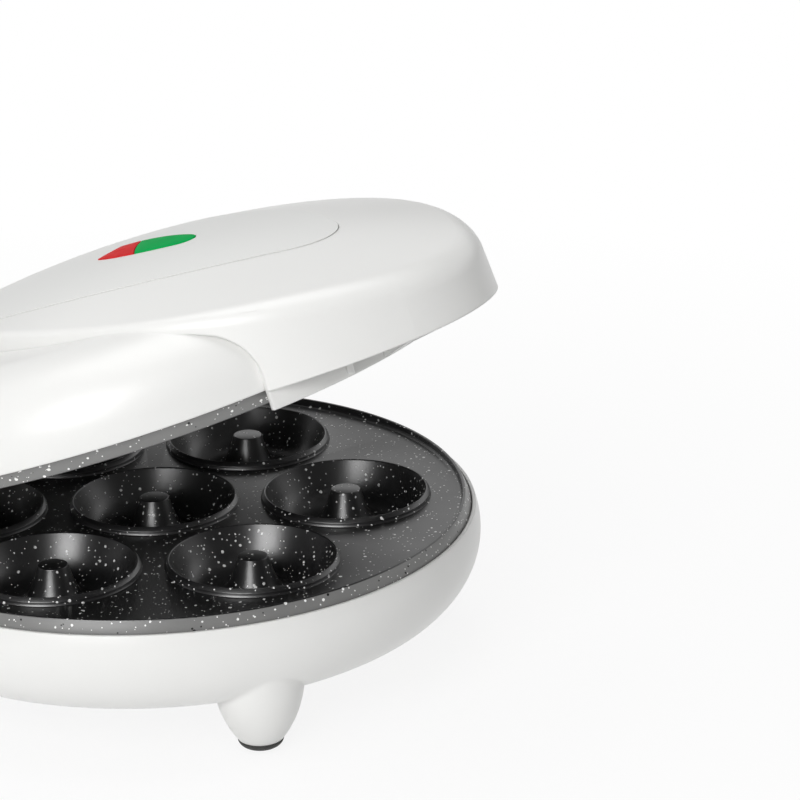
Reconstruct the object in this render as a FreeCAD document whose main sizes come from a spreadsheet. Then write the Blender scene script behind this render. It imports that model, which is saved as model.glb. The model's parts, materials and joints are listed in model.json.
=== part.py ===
import FreeCAD, Part
import math
import os
import Sketcher

# Donut maker: a round two-plate baking iron on four legs, with a domed lid that hinges at the back.
# Millimetres. +Z is up, the lid's nose points to -Y and the hinge lies along X at the back.
# Every piece is drawn about the parting plane between the two plates, with the lid shut.
# Its Placement then lifts it onto its feet and swings the pieces of the lid open.

Vector = FreeCAD.Vector
document = FreeCAD.newDocument("DonutMaker")
sheet = document.addObject("Spreadsheet::Sheet", "Dims")
nodes = []


# A size knows its value and the expression over the sheet's cells that gives it
class Size:
    def __init__(self, value, text):
        self.value = float(value)
        self.text = text

    def __add__(self, other):
        other = asSize(other)
        return Size(self.value + other.value, f"({self.text} + {other.text})")

    def __sub__(self, other):
        other = asSize(other)
        return Size(self.value - other.value, f"({self.text} - {other.text})")

    def __mul__(self, other):
        other = asSize(other)
        return Size(self.value * other.value, f"({self.text} * {other.text})")

    def __truediv__(self, other):
        other = asSize(other)
        return Size(self.value / other.value, f"({self.text} / {other.text})")

    def __radd__(self, other):
        return asSize(other) + self

    def __rsub__(self, other):
        return asSize(other) - self

    def __rmul__(self, other):
        return asSize(other) * self

    def __neg__(self):
        return Size(-self.value, f"(0 - {self.text})")


def asSize(number):
    return number if isinstance(number, Size) else Size(number, f"({number:.9g})")


def root(square):
    return Size(math.sqrt(square.value), f"sqrt({square.text})")


def sine(angle):
    angle = asSize(angle)
    return Size(math.sin(math.radians(angle.value)), f"sin({angle.text} * 1 deg)")


def cosine(angle):
    angle = asSize(angle)
    return Size(math.cos(math.radians(angle.value)), f"cos({angle.text} * 1 deg)")


# Driving dimensions are plain cells, derived ones are formulas over them
cellCount = 0


def addCell(alias, content, value):
    global cellCount
    cellCount += 1
    sheet.set(f"A{cellCount}", alias)
    sheet.set(f"B{cellCount}", content)
    sheet.setAlias(f"B{cellCount}", alias)
    return Size(value, f"Dims.{alias}")


def size(alias, value):
    return addCell(alias, str(value), value)


def derived(alias, formula):
    return addCell(alias, "=" + formula.text.replace("Dims.", ""), formula.value)


# Stance and hinge
partingHeight = size("partingHeight", 50)
openAngle = size("openAngle", 17.74)
closedGap = size("closedGap", 0.3)

# Baking plates
cavityPitch = size("cavityPitch", 60)
cavityCount = size("cavityCount", 6)
cavityRadius = size("cavityRadius", 25.1)
rimBand = size("rimBand", 14.1)
plateRadius = derived("plateRadius", cavityPitch + cavityRadius + rimBand)
plateWall = size("plateWall", 2.2)
lipWidth = size("lipWidth", 3.4)
lipRound = size("lipRound", 0.4)
rimSlope = size("rimSlope", 1.9)
beadRound = size("beadRound", 0.4)
floorDepth = size("floorDepth", 2.4)
floorRound = size("floorRound", 1)
skirtDepth = size("skirtDepth", 9)
cavityDepth = size("cavityDepth", 12.3)
channelRound = size("channelRound", 9.9)
postRadius = size("postRadius", 4.7)
postRound = size("postRound", 0.7)
postFootRound = size("postFootRound", 6.5)
postFootSweep = size("postFootSweep", 66)
bossRadius = size("bossRadius", 4.5)
bossDepth = size("bossDepth", 18)
pilotDepth = size("pilotDepth", 11)
screwRadius = size("screwRadius", 1.6)
screwClearance = size("screwClearance", 0.4)
screwHeadRadius = size("screwHeadRadius", 3.4)
screwHeadHeight = size("screwHeadHeight", 2.2)
threadFit = size("threadFit", 0.02)

# Shells of the base and the lid
shellWall = size("shellWall", 2.4)
rimDrop = size("rimDrop", 3.6)
lidRimRise = size("lidRimRise", 4.9)
sideRound = size("sideRound", 22.4)
sideInset = size("sideInset", 19.6)
sideCentreRadius = derived("sideCentreRadius", plateRadius - sideInset)
baseDepth = size("baseDepth", 34)
lidCrownHeight = size("lidCrownHeight", 32.6)
plateClearance = size("plateClearance", 0.35)

# Canopy of the lid, seen from above: nose, flanks and rear as tangent arcs
noseOverhang = size("noseOverhang", 28.8)
noseReach = derived("noseReach", plateRadius + noseOverhang)
noseRadius = size("noseRadius", 50)
canopyHalfWidth = size("canopyHalfWidth", 70)
canopyWidest = size("canopyWidest", 42)
canopyRearFlank = size("canopyRearFlank", 115)
canopyRearRadius = size("canopyRearRadius", 35)
canopyDraft = size("canopyDraft", 4)
domeRadius = size("domeRadius", 310)
domeHeight = size("domeHeight", 43.9)
domeReach = size("domeReach", 12)
shoulderRound = size("shoulderRound", 3)
noseRound = size("noseRound", 9)

# Arched window in each flank of the canopy, where the round housing shows
archFront = size("archFront", 86.5)
archSpring = size("archSpring", 9)
archHaunch = size("archHaunch", 18)
archHaunchReach = size("archHaunchReach", 77.5)
archHaunchRise = size("archHaunchRise", 24.3)
archRound = size("archRound", 82)
archCrownReach = size("archCrownReach", 45)
archCrownRise = size("archCrownRise", 31)

# Apron and gusset ribs under the nose
apronGap = size("apronGap", 4.8)
apronRadius = derived("apronRadius", plateRadius + apronGap)
apronWall = size("apronWall", 2)
apronSpan = size("apronSpan", 67.6)
gussetCount = size("gussetCount", 8)
gussetPitch = size("gussetPitch", 22.8)
gussetWall = size("gussetWall", 2)
apronDrop = size("apronDrop", 1)
gussetTop = size("gussetTop", 14)

# Oval top panel and the two-colour indicator window
panelReach = size("panelReach", 86)
panelTip = size("panelTip", 20)
panelHalfWidth = size("panelHalfWidth", 47)
panelWidest = size("panelWidest", 0.3)
panelRearFlank = size("panelRearFlank", 48)
panelRear = size("panelRear", 46)
panelThickness = size("panelThickness", 1.6)
panelProud = size("panelProud", 0.2)
panelClearance = size("panelClearance", 0.2)
lensReach = size("lensReach", 38.7)
lensTip = size("lensTip", 6)
lensHalfWidth = size("lensHalfWidth", 9.5)
lensWidest = size("lensWidest", 18)
lensRearFlank = size("lensRearFlank", 22)
lensRear = size("lensRear", 2)
lensBack = size("lensBack", 7.7)
lensProud = size("lensProud", 0.3)
lensDivideReach = size("lensDivideReach", 108.3)
lensDivideAside = size("lensDivideAside", 42.7)
lensDivideRadius = size("lensDivideRadius", 100)
lensDivideGap = size("lensDivideGap", 0.2)
lampRadius = size("lampRadius", 3)
lampLength = size("lampLength", 11)
lampRedReach = size("lampRedReach", 12)
lampGreenReach = size("lampGreenReach", 31)
lampDrop = size("lampDrop", 1)

# Legs and foot pads
legInset = size("legInset", 14.2)
legRadius = derived("legRadius", plateRadius - legInset)
legAngle = size("legAngle", 39.2)
legTopRadius = size("legTopRadius", 13.6)
legTopRise = size("legTopRise", 11)
legTipRadius = size("legTipRadius", 6.2)
legFlare = size("legFlare", 34)
padHeight = size("padHeight", 2.2)
padRadius = size("padRadius", 5.8)
padRound = size("padRound", 1.4)
padStemRadius = size("padStemRadius", 2)
padStemLength = size("padStemLength", 5)

# Hinge
hingeGap = size("hingeGap", 13.1)
hingeReach = derived("hingeReach", plateRadius + hingeGap)
pinRadius = size("pinRadius", 2.5)
pinFit = size("pinFit", 0.05)
eyeRadius = size("eyeRadius", 6)
lugWall = size("lugWall", 9)
lugGap = size("lugGap", 0.5)
lidLugOffset = size("lidLugOffset", 20.5)

# Heating elements and reflector pans
elementInset = size("elementInset", 6.9)
elementRadius = derived("elementRadius", plateRadius - elementInset)
elementTube = size("elementTube", 3.2)
elementGap = size("elementGap", 50)
elementBend = size("elementBend", 9)
elementLegDepth = size("elementLegDepth", 18)
elementPin = size("elementPin", 1.5)
elementPinLength = size("elementPinLength", 5)
panGap = size("panGap", 2.1)
panRadius = derived("panRadius", elementRadius - elementTube - panGap)
panWall = size("panWall", 0.6)
panRimHeight = size("panRimHeight", 6)
panRimRound = size("panRimRound", 2)
panWindow = size("panWindow", 9.8)

# Thermostat and its strap
thermostatCap = size("thermostatCap", 8.2)
thermostatFlange = size("thermostatFlange", 9.5)
thermostatBody = size("thermostatBody", 7.8)
thermostatHeight = size("thermostatHeight", 11)
tabWidth = size("tabWidth", 6.3)
tabReach = size("tabReach", 13)
tabThickness = size("tabThickness", 0.8)
strapLength = size("strapLength", 42)
strapWidth = size("strapWidth", 20)
strapThickness = size("strapThickness", 0.8)
strapScrewSpacing = size("strapScrewSpacing", 31)
strapScrewRadius = size("strapScrewRadius", 1.4)
strapScrewHead = size("strapScrewHead", 2.6)
strapScrewHeadHeight = size("strapScrewHeadHeight", 1.6)
strapScrewLength = size("strapScrewLength", 3)

# Thermal fuse and its clip
fuseRadius = size("fuseRadius", 3)
fuseLength = size("fuseLength", 9)
clipWidth = size("clipWidth", 8)

# Terminal block, cord bush and leads
blockLength = size("blockLength", 24)
blockWidth = size("blockWidth", 14)
blockHeight = size("blockHeight", 8)
blockReach = size("blockReach", 63)
blockBore = size("blockBore", 1.8)
blockBoreSpacing = size("blockBoreSpacing", 14)
blockScrewRadius = size("blockScrewRadius", 1.5)
bushDrop = size("bushDrop", 19)
bushRadius = size("bushRadius", 6)
bushBore = size("bushBore", 3.3)
bushFlange = size("bushFlange", 8.5)
bushFlangeWall = size("bushFlangeWall", 2)
bushSeatRadius = size("bushSeatRadius", 10)
bushSeatWall = size("bushSeatWall", 9)
bushSeatOut = derived("bushSeatOut", sideCentreRadius + sideRound)
bushSeatIn = derived("bushSeatIn", bushSeatOut - bushSeatWall)
bushFit = size("bushFit", 0.1)
leadRadius = size("leadRadius", 1.2)
leadBend = size("leadBend", 8)
leadEndGap = size("leadEndGap", 0.2)
leadWallGap = size("leadWallGap", 0.6)

# Derived positions
channelRadius = derived("channelRadius", cavityRadius - channelRound)
bossReach = derived("bossReach", cavityPitch / math.sqrt(3))
floorUnder = derived("floorUnder", floorDepth + plateWall)
bowlUnder = derived("bowlUnder", cavityDepth + plateWall)
seatDepth = derived("seatDepth", bossDepth + panWall)
screwHole = derived("screwHole", screwRadius + screwClearance)
baseLugOffset = derived("baseLugOffset", lidLugOffset + lugWall + lugGap)
legX = derived("legX", legRadius * sine(legAngle))
legY = derived("legY", legRadius * cosine(legAngle))
domeCentre = derived("domeCentre", domeHeight - domeRadius)
document.recompute()


# Signed level at a depth behind a plate's face: below the parting plane, or above it in the lid
def level(depth, inLid):
    depth = asSize(depth)
    return closedGap + depth if inLid else -depth


# Sketches and features

def bind(target, path, amount):
    target.setExpression(path, asSize(amount).text)


def newBody(label):
    body = document.addObject("PartDesign::Body", label)
    body.Label = label
    return body


def newSketch(body, role, right=0, up=0, out=0):
    sketch = body.newObject("Sketcher::SketchObject", "Sketch")
    plane = [feature for feature in body.Origin.OriginFeatures if feature.Role == role][0]
    sketch.AttachmentSupport = [(plane, "")]
    sketch.MapMode = "FlatFace"
    for axis, amount in zip("xyz", (right, up, out)):
        bind(sketch, f"AttachmentOffset.Base.{axis}", amount)
    document.recompute()
    return sketch


# A sketch in the XZ direction whose vertical axis stands at x, y
def uprightSketch(body, x=0, y=0):
    return newSketch(body, "XZ_Plane", right=x, out=-asSize(y))


# An upright sketch through a point whose horizontal axis points at an angle aside from the nose
def turnedSketch(body, y, angle):
    sketch = uprightSketch(body, y=y)
    offset = FreeCAD.Rotation(Vector(0, -1, 0), 90 - angle.value)
    sketch.AttachmentOffset = FreeCAD.Placement(sketch.AttachmentOffset.Base, offset)
    bind(sketch, "AttachmentOffset.Rotation.Angle", 90 - angle)
    document.recompute()
    return sketch


def arcBetween(begin, end, radius, turn):
    chord = end - begin
    half = chord.Length / 2
    rise = math.sqrt(max(radius * radius - half * half, 0))
    left = Vector(-chord.y, chord.x, 0) / chord.Length
    centre = begin + chord / 2 + left * (rise * turn)
    first, last = (begin, end) if turn > 0 else (end, begin)
    startAngle = math.atan2(first.y - centre.y, first.x - centre.x)
    endAngle = math.atan2(last.y - centre.y, last.x - centre.x)
    if endAngle <= startAngle:
        endAngle += 2 * math.pi
    return Part.ArcOfCircle(Part.Circle(centre, Vector(0, 0, 1), radius), startAngle, endAngle)


# A closed outline. Each stop says how the outline arrives there from the stop before it:
# (x, y) along a line, (x, y, radius, turn) along an arc, with turn +1 anticlockwise
def drawLoop(sketch, *stops):
    places = [Vector(asSize(stop[0]).value, asSize(stop[1]).value, 0) for stop in stops]
    edges = []
    for index, stop in enumerate(stops):
        begin, end = places[index - 1], places[index]
        if len(stop) == 2:
            edges.append((sketch.addGeometry(Part.LineSegment(begin, end)), 1, 2))
            continue
        arc = sketch.addGeometry(arcBetween(begin, end, asSize(stop[2]).value, stop[3]))
        edges.append((arc, 1, 2) if stop[3] > 0 else (arc, 2, 1))
    for index, stop in enumerate(stops):
        edge, startEnd, farEnd = edges[index]
        following = edges[(index + 1) % len(edges)]
        sketch.addConstraint(Sketcher.Constraint("Coincident", edge, farEnd, following[0], following[1]))
        for kind, amount in (("DistanceX", stop[0]), ("DistanceY", stop[1])):
            amount = asSize(amount)
            number = sketch.addConstraint(Sketcher.Constraint(kind, -1, 1, edge, farEnd, amount.value))
            sketch.setExpression(f"Constraints[{number}]", amount.text)
        if len(stop) == 4:
            radius = asSize(stop[2])
            number = sketch.addConstraint(Sketcher.Constraint("Radius", edge, radius.value))
            sketch.setExpression(f"Constraints[{number}]", radius.text)
    return sketch


def drawCircle(sketch, x, y, radius):
    centre = Vector(asSize(x).value, asSize(y).value, 0)
    circle = sketch.addGeometry(Part.Circle(centre, Vector(0, 0, 1), asSize(radius).value))
    for kind, amount in (("DistanceX", x), ("DistanceY", y)):
        amount = asSize(amount)
        number = sketch.addConstraint(Sketcher.Constraint(kind, -1, 1, circle, 3, amount.value))
        sketch.setExpression(f"Constraints[{number}]", amount.text)
    number = sketch.addConstraint(Sketcher.Constraint("Radius", circle, asSize(radius).value))
    sketch.setExpression(f"Constraints[{number}]", asSize(radius).text)
    return sketch


def addFeature(body, kind, name):
    feature = body.newObject(f"PartDesign::{kind}", name)
    body.Tip = feature
    return feature


def revolve(body, sketch, name, cut=False, axis="V_Axis", span=None):
    feature = addFeature(body, "Groove" if cut else "Revolution", name)
    feature.Profile = sketch
    feature.ReferenceAxis = (sketch, [axis])
    if span is not None:
        feature.Midplane = True
        bind(feature, "Angle", span)
    document.recompute()
    return feature


def extrude(body, sketch, name, length, cut=False, middle=False, reverse=False, taper=None):
    feature = addFeature(body, "Pocket" if cut else "Pad", name)
    feature.Profile = sketch
    feature.SideType = "Symmetric" if middle else "One side"
    feature.Reversed = reverse
    bind(feature, "Length", length)
    if taper is not None:
        bind(feature, "TaperAngle", taper)
    document.recompute()
    return feature


def polarPattern(body, original, count, name):
    pattern = addFeature(body, "PolarPattern", name)
    pattern.Originals = [original]
    axis = [feature for feature in body.Origin.OriginFeatures if feature.Role == "Z_Axis"][0]
    pattern.Axis = (axis, [""])
    bind(pattern, "Occurrences", count)
    document.recompute()
    return pattern


# Placing: a piece of the base is lifted onto the feet, a piece of the lid also swings about the hinge
def settle(node, inLid):
    node.Placement = FreeCAD.Placement(Vector(0, 0, 0), FreeCAD.Rotation(Vector(-1, 0, 0), 0))
    if inLid:
        swing = FreeCAD.Rotation(Vector(-1, 0, 0), openAngle.value)
        node.Placement = FreeCAD.Placement(Vector(0, 0, 0), swing)
        bind(node, "Placement.Rotation.Angle", openAngle)
        bind(node, "Placement.Base.y", hingeReach - hingeReach * cosine(openAngle))
        bind(node, "Placement.Base.z", partingHeight + hingeReach * sine(openAngle))
    else:
        bind(node, "Placement.Base.z", partingHeight)
    nodes.append(node)
    return node


def makeFeature(label, shape, inLid):
    node = document.addObject("Part::Feature", label)
    node.Label = label
    node.Shape = shape
    return settle(node, inLid)


def combine(kind, label, first, second):
    node = document.addObject(f"Part::{kind}", label)
    node.Label = label
    node.Base = first
    node.Tool = second
    document.recompute()
    return node


def fuseAll(label, pieces):
    node = document.addObject("Part::MultiFuse", label)
    node.Label = label
    node.Shapes = pieces
    document.recompute()
    return node


# Solids of turned pieces that stand at several places, such as screws and pads
def turnedSolid(profile, x, y):
    points = [Vector(asSize(r).value, 0, asSize(z).value) for r, z in profile]
    face = Part.Face(Part.makePolygon(points + points[:1]))
    solid = face.revolve(Vector(0, 0, 0), Vector(0, 0, 1), 360)
    solid.translate(Vector(asSize(x).value, asSize(y).value, 0))
    return solid


# A tube along straight runs that tangent arcs join
def bentTube(points, bend, radius):
    edges = []
    begin = points[0]
    for index in range(1, len(points) - 1):
        corner = points[index]
        back = (points[index - 1] - corner).normalize()
        ahead = (points[index + 1] - corner).normalize()
        half = back.getAngle(ahead) / 2
        setback = bend / math.tan(half)
        middle = corner + (back + ahead).normalize() * (bend / math.sin(half) - bend)
        first, last = corner + back * setback, corner + ahead * setback
        edges += [Part.LineSegment(begin, first).toShape(), Part.Arc(first, middle, last).toShape()]
        begin = last
    edges.append(Part.LineSegment(begin, points[-1]).toShape())
    return sweepCircle(edges, radius)


def sweepCircle(edges, radius):
    path = Part.Wire(edges)
    start = edges[0].valueAt(edges[0].FirstParameter)
    heading = edges[0].tangentAt(edges[0].FirstParameter)
    section = Part.Wire(Part.makeCircle(radius, start, heading))
    return path.makePipeShell([section], True, False)


# Baking plate: lipped disc with ring-shaped cavities, the same in the base and, turned over, in the lid
def makePlate(label, inLid):
    turn = -1 if inLid else 1

    def at(depth):
        return level(depth, inLid)

    body = newBody(label)
    lipInner = plateRadius - lipWidth
    skirtInner = plateRadius - plateWall
    rimTop = plateRadius - rimSlope
    slant = root(rimSlope * rimSlope + rimDrop * rimDrop)
    lean = rimDrop / slant
    fall = rimSlope / slant
    disc = drawLoop(
        uprightSketch(body),
        (0, at(floorDepth)),
        (lipInner - floorRound, at(floorDepth)),
        (lipInner, at(floorDepth - floorRound), floorRound, turn),
        (lipInner, at(lipRound)),
        (lipInner + lipRound, at(0), lipRound, -turn),
        (rimTop, at(0)),
        (rimTop + lipRound * lean, at(lipRound * (1 - fall)), lipRound, -turn),
        (plateRadius, at(rimDrop)),
        (plateRadius, at(skirtDepth)),
        (skirtInner, at(skirtDepth)),
        (skirtInner, at(floorUnder)),
        (0, at(floorUnder)),
    )
    revolve(body, disc, "Disc")

    springDepth = cavityDepth - channelRound
    postFootRadius = channelRadius - postFootRound * sine(postFootSweep)
    postFootDepth = cavityDepth - postFootRound + postFootRound * cosine(postFootSweep)

    def bowl(reach, name):
        sketch = drawLoop(
            uprightSketch(body, x=reach),
            (0, at(0)),
            (0, at(bowlUnder)),
            (channelRadius, at(bowlUnder)),
            (cavityRadius + plateWall, at(springDepth), channelRound + plateWall, turn),
            (cavityRadius + plateWall, at(beadRound)),
            (cavityRadius + plateWall - beadRound, at(0), beadRound, turn),
        )
        return revolve(body, sketch, name)

    def channel(reach, name):
        above = -plateWall
        sketch = drawLoop(
            uprightSketch(body, x=reach),
            (cavityRadius + beadRound, at(above)),
            (cavityRadius + beadRound, at(0)),
            (cavityRadius, at(beadRound), beadRound, turn),
            (cavityRadius, at(springDepth)),
            (channelRadius, at(cavityDepth), channelRound, -turn),
            (postFootRadius, at(postFootDepth), postFootRound, -turn),
            (postRadius, at(postRound)),
            (postRadius - postRound, at(0), postRound, turn),
            (postRadius - postRound, at(above)),
        )
        return revolve(body, sketch, name, cut=True)

    polarPattern(body, bowl(cavityPitch, "OuterBowl"), cavityCount, "OuterBowls")
    bowl(0, "MiddleBowl")
    polarPattern(body, channel(cavityPitch, "OuterChannel"), cavityCount, "OuterChannels")
    channel(0, "MiddleChannel")

    for number, (x, y) in enumerate(bossPlaces):
        boss = drawLoop(
            uprightSketch(body, x, y),
            (0, at(floorDepth + plateWall / 2)),
            (bossRadius, at(floorDepth + plateWall / 2)),
            (bossRadius, at(bossDepth)),
            (screwRadius + threadFit, at(bossDepth)),
            (screwRadius + threadFit, at(bossDepth - pilotDepth)),
            (0, at(bossDepth - pilotDepth)),
        )
        revolve(body, boss, f"Boss{number}")
    return settle(body, inLid)


# The bosses stand where three cavities leave room between them
bossPlaces = [
    (asSize(0), bossReach),
    (-bossReach * cosine(30), -bossReach * sine(30)),
    (bossReach * cosine(30), -bossReach * sine(30)),
]


# Tubular heating element: a ring under the plate's rim whose two ends turn away from the plate
def makeElement(label, inLid):
    way = 1 if inLid else -1
    depth = floorUnder + elementTube
    z = level(depth, inLid).value
    radius = elementRadius.value
    bend = elementBend.value
    halfGap = math.radians(elementGap.value / 2)
    tail = level(elementLegDepth, inLid).value

    def onRing(angle):
        return Vector(radius * math.cos(angle), radius * math.sin(angle), z)

    begin = math.pi / 2 + halfGap
    end = math.pi / 2 - halfGap + 2 * math.pi
    edges = [Part.Arc(onRing(begin), onRing((begin + end) / 2), onRing(end)).toShape()]
    tails = []
    for angle, sense in ((begin, -1), (end, 1)):
        start = onRing(angle)
        heading = Vector(-math.sin(angle), math.cos(angle), 0) * sense
        down = Vector(0, 0, way)
        corner = start + heading * bend + down * bend
        half = math.pi / 4
        middle = start + heading * (bend * math.sin(half)) + down * (bend * (1 - math.cos(half)))
        foot = Vector(corner.x, corner.y, tail)
        turnArc = Part.Arc(start, middle, corner).toShape()
        straight = Part.LineSegment(corner, foot).toShape()
        tails.append((turnArc, straight, foot))
    path = [
        Part.LineSegment(tails[0][2], tails[0][1].Vertexes[0].Point).toShape(),
        Part.Arc(
            tails[0][0].Vertexes[1].Point,
            tails[0][0].valueAt((tails[0][0].FirstParameter + tails[0][0].LastParameter) / 2),
            tails[0][0].Vertexes[0].Point,
        ).toShape(),
        edges[0],
        tails[1][0],
        tails[1][1],
    ]
    tube = sweepCircle(path, elementTube.value)
    pins = [
        Part.makeCylinder(elementPin.value, elementPinLength.value, foot, Vector(0, 0, way))
        for _, _, foot in tails
    ]
    solid = tube.multiFuse(pins).removeSplitter()
    return makeFeature(label, solid, inLid)


# Reflector pan: a dished sheet that the screws clamp between the plate's bosses and the shell's towers
def makePan(label, inLid):
    turn = -1 if inLid else 1

    def at(depth):
        return level(depth, inLid)

    body = newBody(label)
    rimDepth = bossDepth - panRimHeight
    pan = drawLoop(
        uprightSketch(body),
        (panWindow, at(seatDepth)),
        (panRadius - panRimRound - panWall, at(seatDepth)),
        (panRadius, at(seatDepth - panRimRound - panWall), panRimRound + panWall, turn),
        (panRadius, at(rimDepth)),
        (panRadius - panWall, at(rimDepth)),
        (panRadius - panWall, at(bossDepth - panRimRound)),
        (panRadius - panWall - panRimRound, at(bossDepth), panRimRound, -turn),
        (panWindow, at(bossDepth)),
    )
    revolve(body, pan, "Dish")
    holes = newSketch(body, "XY_Plane", out=at(bossDepth + panWall / 2))
    for x, y in bossPlaces:
        drawCircle(holes, x, y, screwHole)
    for sign in (-1, 1):
        across = sign * strapScrewSpacing / 2
        drawCircle(holes, 0, across, strapScrewRadius + threadFit)
    extrude(body, holes, "ScrewHoles", panWall * 3, cut=True, middle=True)
    return settle(body, inLid)


# Outline of three round stretches seen from above: a nose at the front, flanks and a rear, all tangent.
# The function that comes back gives its stops, set in by an even margin
def eggOutline(name, reach, tip, halfWidth, widest, rearFlank, rear):
    noseCentre = derived(f"{name}NoseCentre", reach - tip)
    ahead = noseCentre - widest
    frontSquare = ahead * ahead + halfWidth * halfWidth - tip * tip
    frontFlank = derived(f"{name}FrontFlank", frontSquare / (2 * (halfWidth - tip)))
    frontOffset = derived(f"{name}FrontOffset", frontFlank - halfWidth)
    rearOffset = derived(f"{name}RearOffset", rearFlank - halfWidth)
    rearSpan = rearFlank - rear
    rearBack = derived(f"{name}RearBack", root(rearSpan * rearSpan - rearOffset * rearOffset))
    document.recompute()

    def stops(inset=0):
        front = frontFlank - inset
        back = rearFlank - inset
        frontX = front * frontOffset / (frontFlank - tip) - frontOffset
        frontY = -widest - front * (noseCentre - widest) / (frontFlank - tip)
        rearX = back * rearOffset / rearSpan - rearOffset
        rearY = back * rearBack / rearSpan - widest
        wide = halfWidth - inset
        return [
            (frontX, frontY, tip - inset, 1),
            (wide, -widest, front, 1),
            (rearX, rearY, back, 1),
            (-rearX, rearY, rear - inset, 1),
            (-wide, -widest, back, 1),
            (-frontX, frontY, front, 1),
        ]

    return stops


canopyNoseCentre = noseReach - noseRadius
canopyOutline = eggOutline("canopy", noseReach, noseRadius, canopyHalfWidth, canopyWidest,
                           canopyRearFlank, canopyRearRadius)
panelOutline = eggOutline("panel", panelReach, panelTip, panelHalfWidth, panelWidest,
                          panelRearFlank, panelRear)
lensEgg = eggOutline("lens", lensReach, lensTip, lensHalfWidth, lensWidest, lensRearFlank, lensRear)


# Outline of the lens pair: an egg cut off square towards the hinge
def lensOutline(inset=0):
    stops = lensEgg(inset)
    back = lensRearFlank - inset
    step = lensWidest - lensBack - inset
    rearX = root(back * back - step * step) - (lensRearFlank - lensHalfWidth)
    rearY = -(lensBack + inset)
    return stops[:2] + [(rearX, rearY, back, 1), (-rearX, rearY)] + stops[4:]
domeSpan = derived("domeSpan", noseReach + domeReach + canopyHalfWidth)
domeClear = derived("domeClear", domeHeight + shellWall * 4)
towerRadius = size("towerRadius", 6)
headRecess = size("headRecess", 8)
headClearance = size("headClearance", 0.4)
lugInset = size("lugInset", 7.2)
lugRoot = derived("lugRoot", plateRadius - lugInset)
lugRootNear = size("lugRootNear", 6)
lugRootFar = size("lugRootFar", 24)
fittingsInset = size("fittingsInset", 0.3)
leadDepth = size("leadDepth", 24.2)
mouthRadius = derived("mouthRadius", plateRadius + plateClearance)
innerRound = derived("innerRound", sideRound - shellWall)
mouthReach = mouthRadius - sideCentreRadius
mouthRise = derived("mouthRise", root(innerRound * innerRound - mouthReach * mouthReach))
panelSeat = derived("panelSeat", panelThickness - panelProud)
headBore = derived("headBore", screwHeadRadius + headClearance)
lidSeat = derived("lidSeat", closedGap + seatDepth)
document.recompute()


# Radius of a rounded side at a height above or below the centre of its round
def sideRadiusAt(offset):
    return sideCentreRadius + root(sideRound * sideRound - offset * offset)


# Everything above, or below, a dome that lies the given drop under the top of the lid
def cutDome(body, drop, keepBelow):
    radius = domeRadius - drop
    rim = domeCentre + root(radius * radius - domeSpan * domeSpan)
    far = domeClear if keepBelow else rim - domeClear
    sketch = drawLoop(
        uprightSketch(body, y=-domeReach),
        (0, domeHeight - drop),
        (domeSpan, rim, radius, -1),
        (domeSpan, far),
        (0, far),
    )
    return revolve(body, sketch, "AboveDome" if keepBelow else "BelowDome", cut=True)


# A block with the canopy's outline and draft under its dome
def canopyBlock(label, inset, drop, start):
    body = newBody(label)
    outline = drawLoop(newSketch(body, "XY_Plane", out=start), *canopyOutline(inset))
    extrude(body, outline, "Flanks", domeClear - start, taper=-canopyDraft)
    cutDome(body, drop, keepBelow=True)
    return body


# Rounds the shoulder round the canopy's top, widest at the nose
def roundShoulder(label, block):
    shape = block.Shape
    dome = [face for face in shape.Faces if isinstance(face.Surface, Part.Sphere)][0]
    front = -(canopyNoseCentre.value + noseRadius.value / 2)
    edges = []
    for number, edge in enumerate(shape.Edges, 1):
        if any(edge.isSame(rim) for rim in dome.Edges):
            ends = [edge.valueAt(edge.FirstParameter), edge.valueAt(edge.LastParameter)]
            rounds = [noseRound.value if end.y < front else shoulderRound.value for end in ends]
            edges.append((number, rounds[0], rounds[1]))
    fillet = document.addObject("Part::Fillet", label)
    fillet.Base = block
    fillet.Edges = edges
    document.recompute()
    return fillet


# The arched windows run right through, from side to side
def archBlock(label, grow):
    body = newBody(label)
    sideways = grow * cosine(50)
    upward = grow * sine(50)
    back = canopyRearFlank
    low = lidRimRise - shellWall * 4
    sketch = drawLoop(
        newSketch(body, "YZ_Plane"),
        (-(archFront + grow), low),
        (-(archFront + grow), archSpring),
        (-(archHaunchReach + sideways), archHaunchRise + upward, archHaunch + grow, -1),
        (-archCrownReach, archCrownRise + grow, archRound + grow, -1),
        (back, archCrownRise + grow),
        (back, low),
    )
    extrude(body, sketch, "Arches", noseReach * 4, middle=True)
    return body


# A curved sheet or lens that follows the dome between two drops under its top
def domeSheet(label, stops, lowerDrop, upperDrop):
    body = newBody(label)
    low = domeHeight / 2
    sketch = drawLoop(newSketch(body, "XY_Plane", out=low), *stops)
    extrude(body, sketch, "Outline", domeClear - low)
    if upperDrop is not None:
        cutDome(body, upperDrop, keepBelow=True)
    cutDome(body, lowerDrop, keepBelow=False)
    return body


# Hinge lugs: an eye round the pin with an arm to the shell, on both sides of the middle
def addLugs(body, offset, way):
    near, far = lugRootNear * way, lugRootFar * way
    for sign in (-1, 1):
        sketch = drawLoop(
            newSketch(body, "YZ_Plane", out=sign * offset),
            (lugRoot, far),
            (lugRoot, near),
            (hingeReach + eyeRadius * cosine(120), -way * eyeRadius * sine(120)),
            (hingeReach + eyeRadius * cosine(50), way * eyeRadius * sine(50), eyeRadius, way),
        )
        extrude(body, sketch, "Lug", lugWall, middle=True)


def boreLugs(body, radius):
    sketch = drawCircle(newSketch(body, "YZ_Plane"), hingeReach, 0, radius)
    extrude(body, sketch, "PinBore", (baseLugOffset + lugWall) * 2, cut=True, middle=True)


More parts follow.
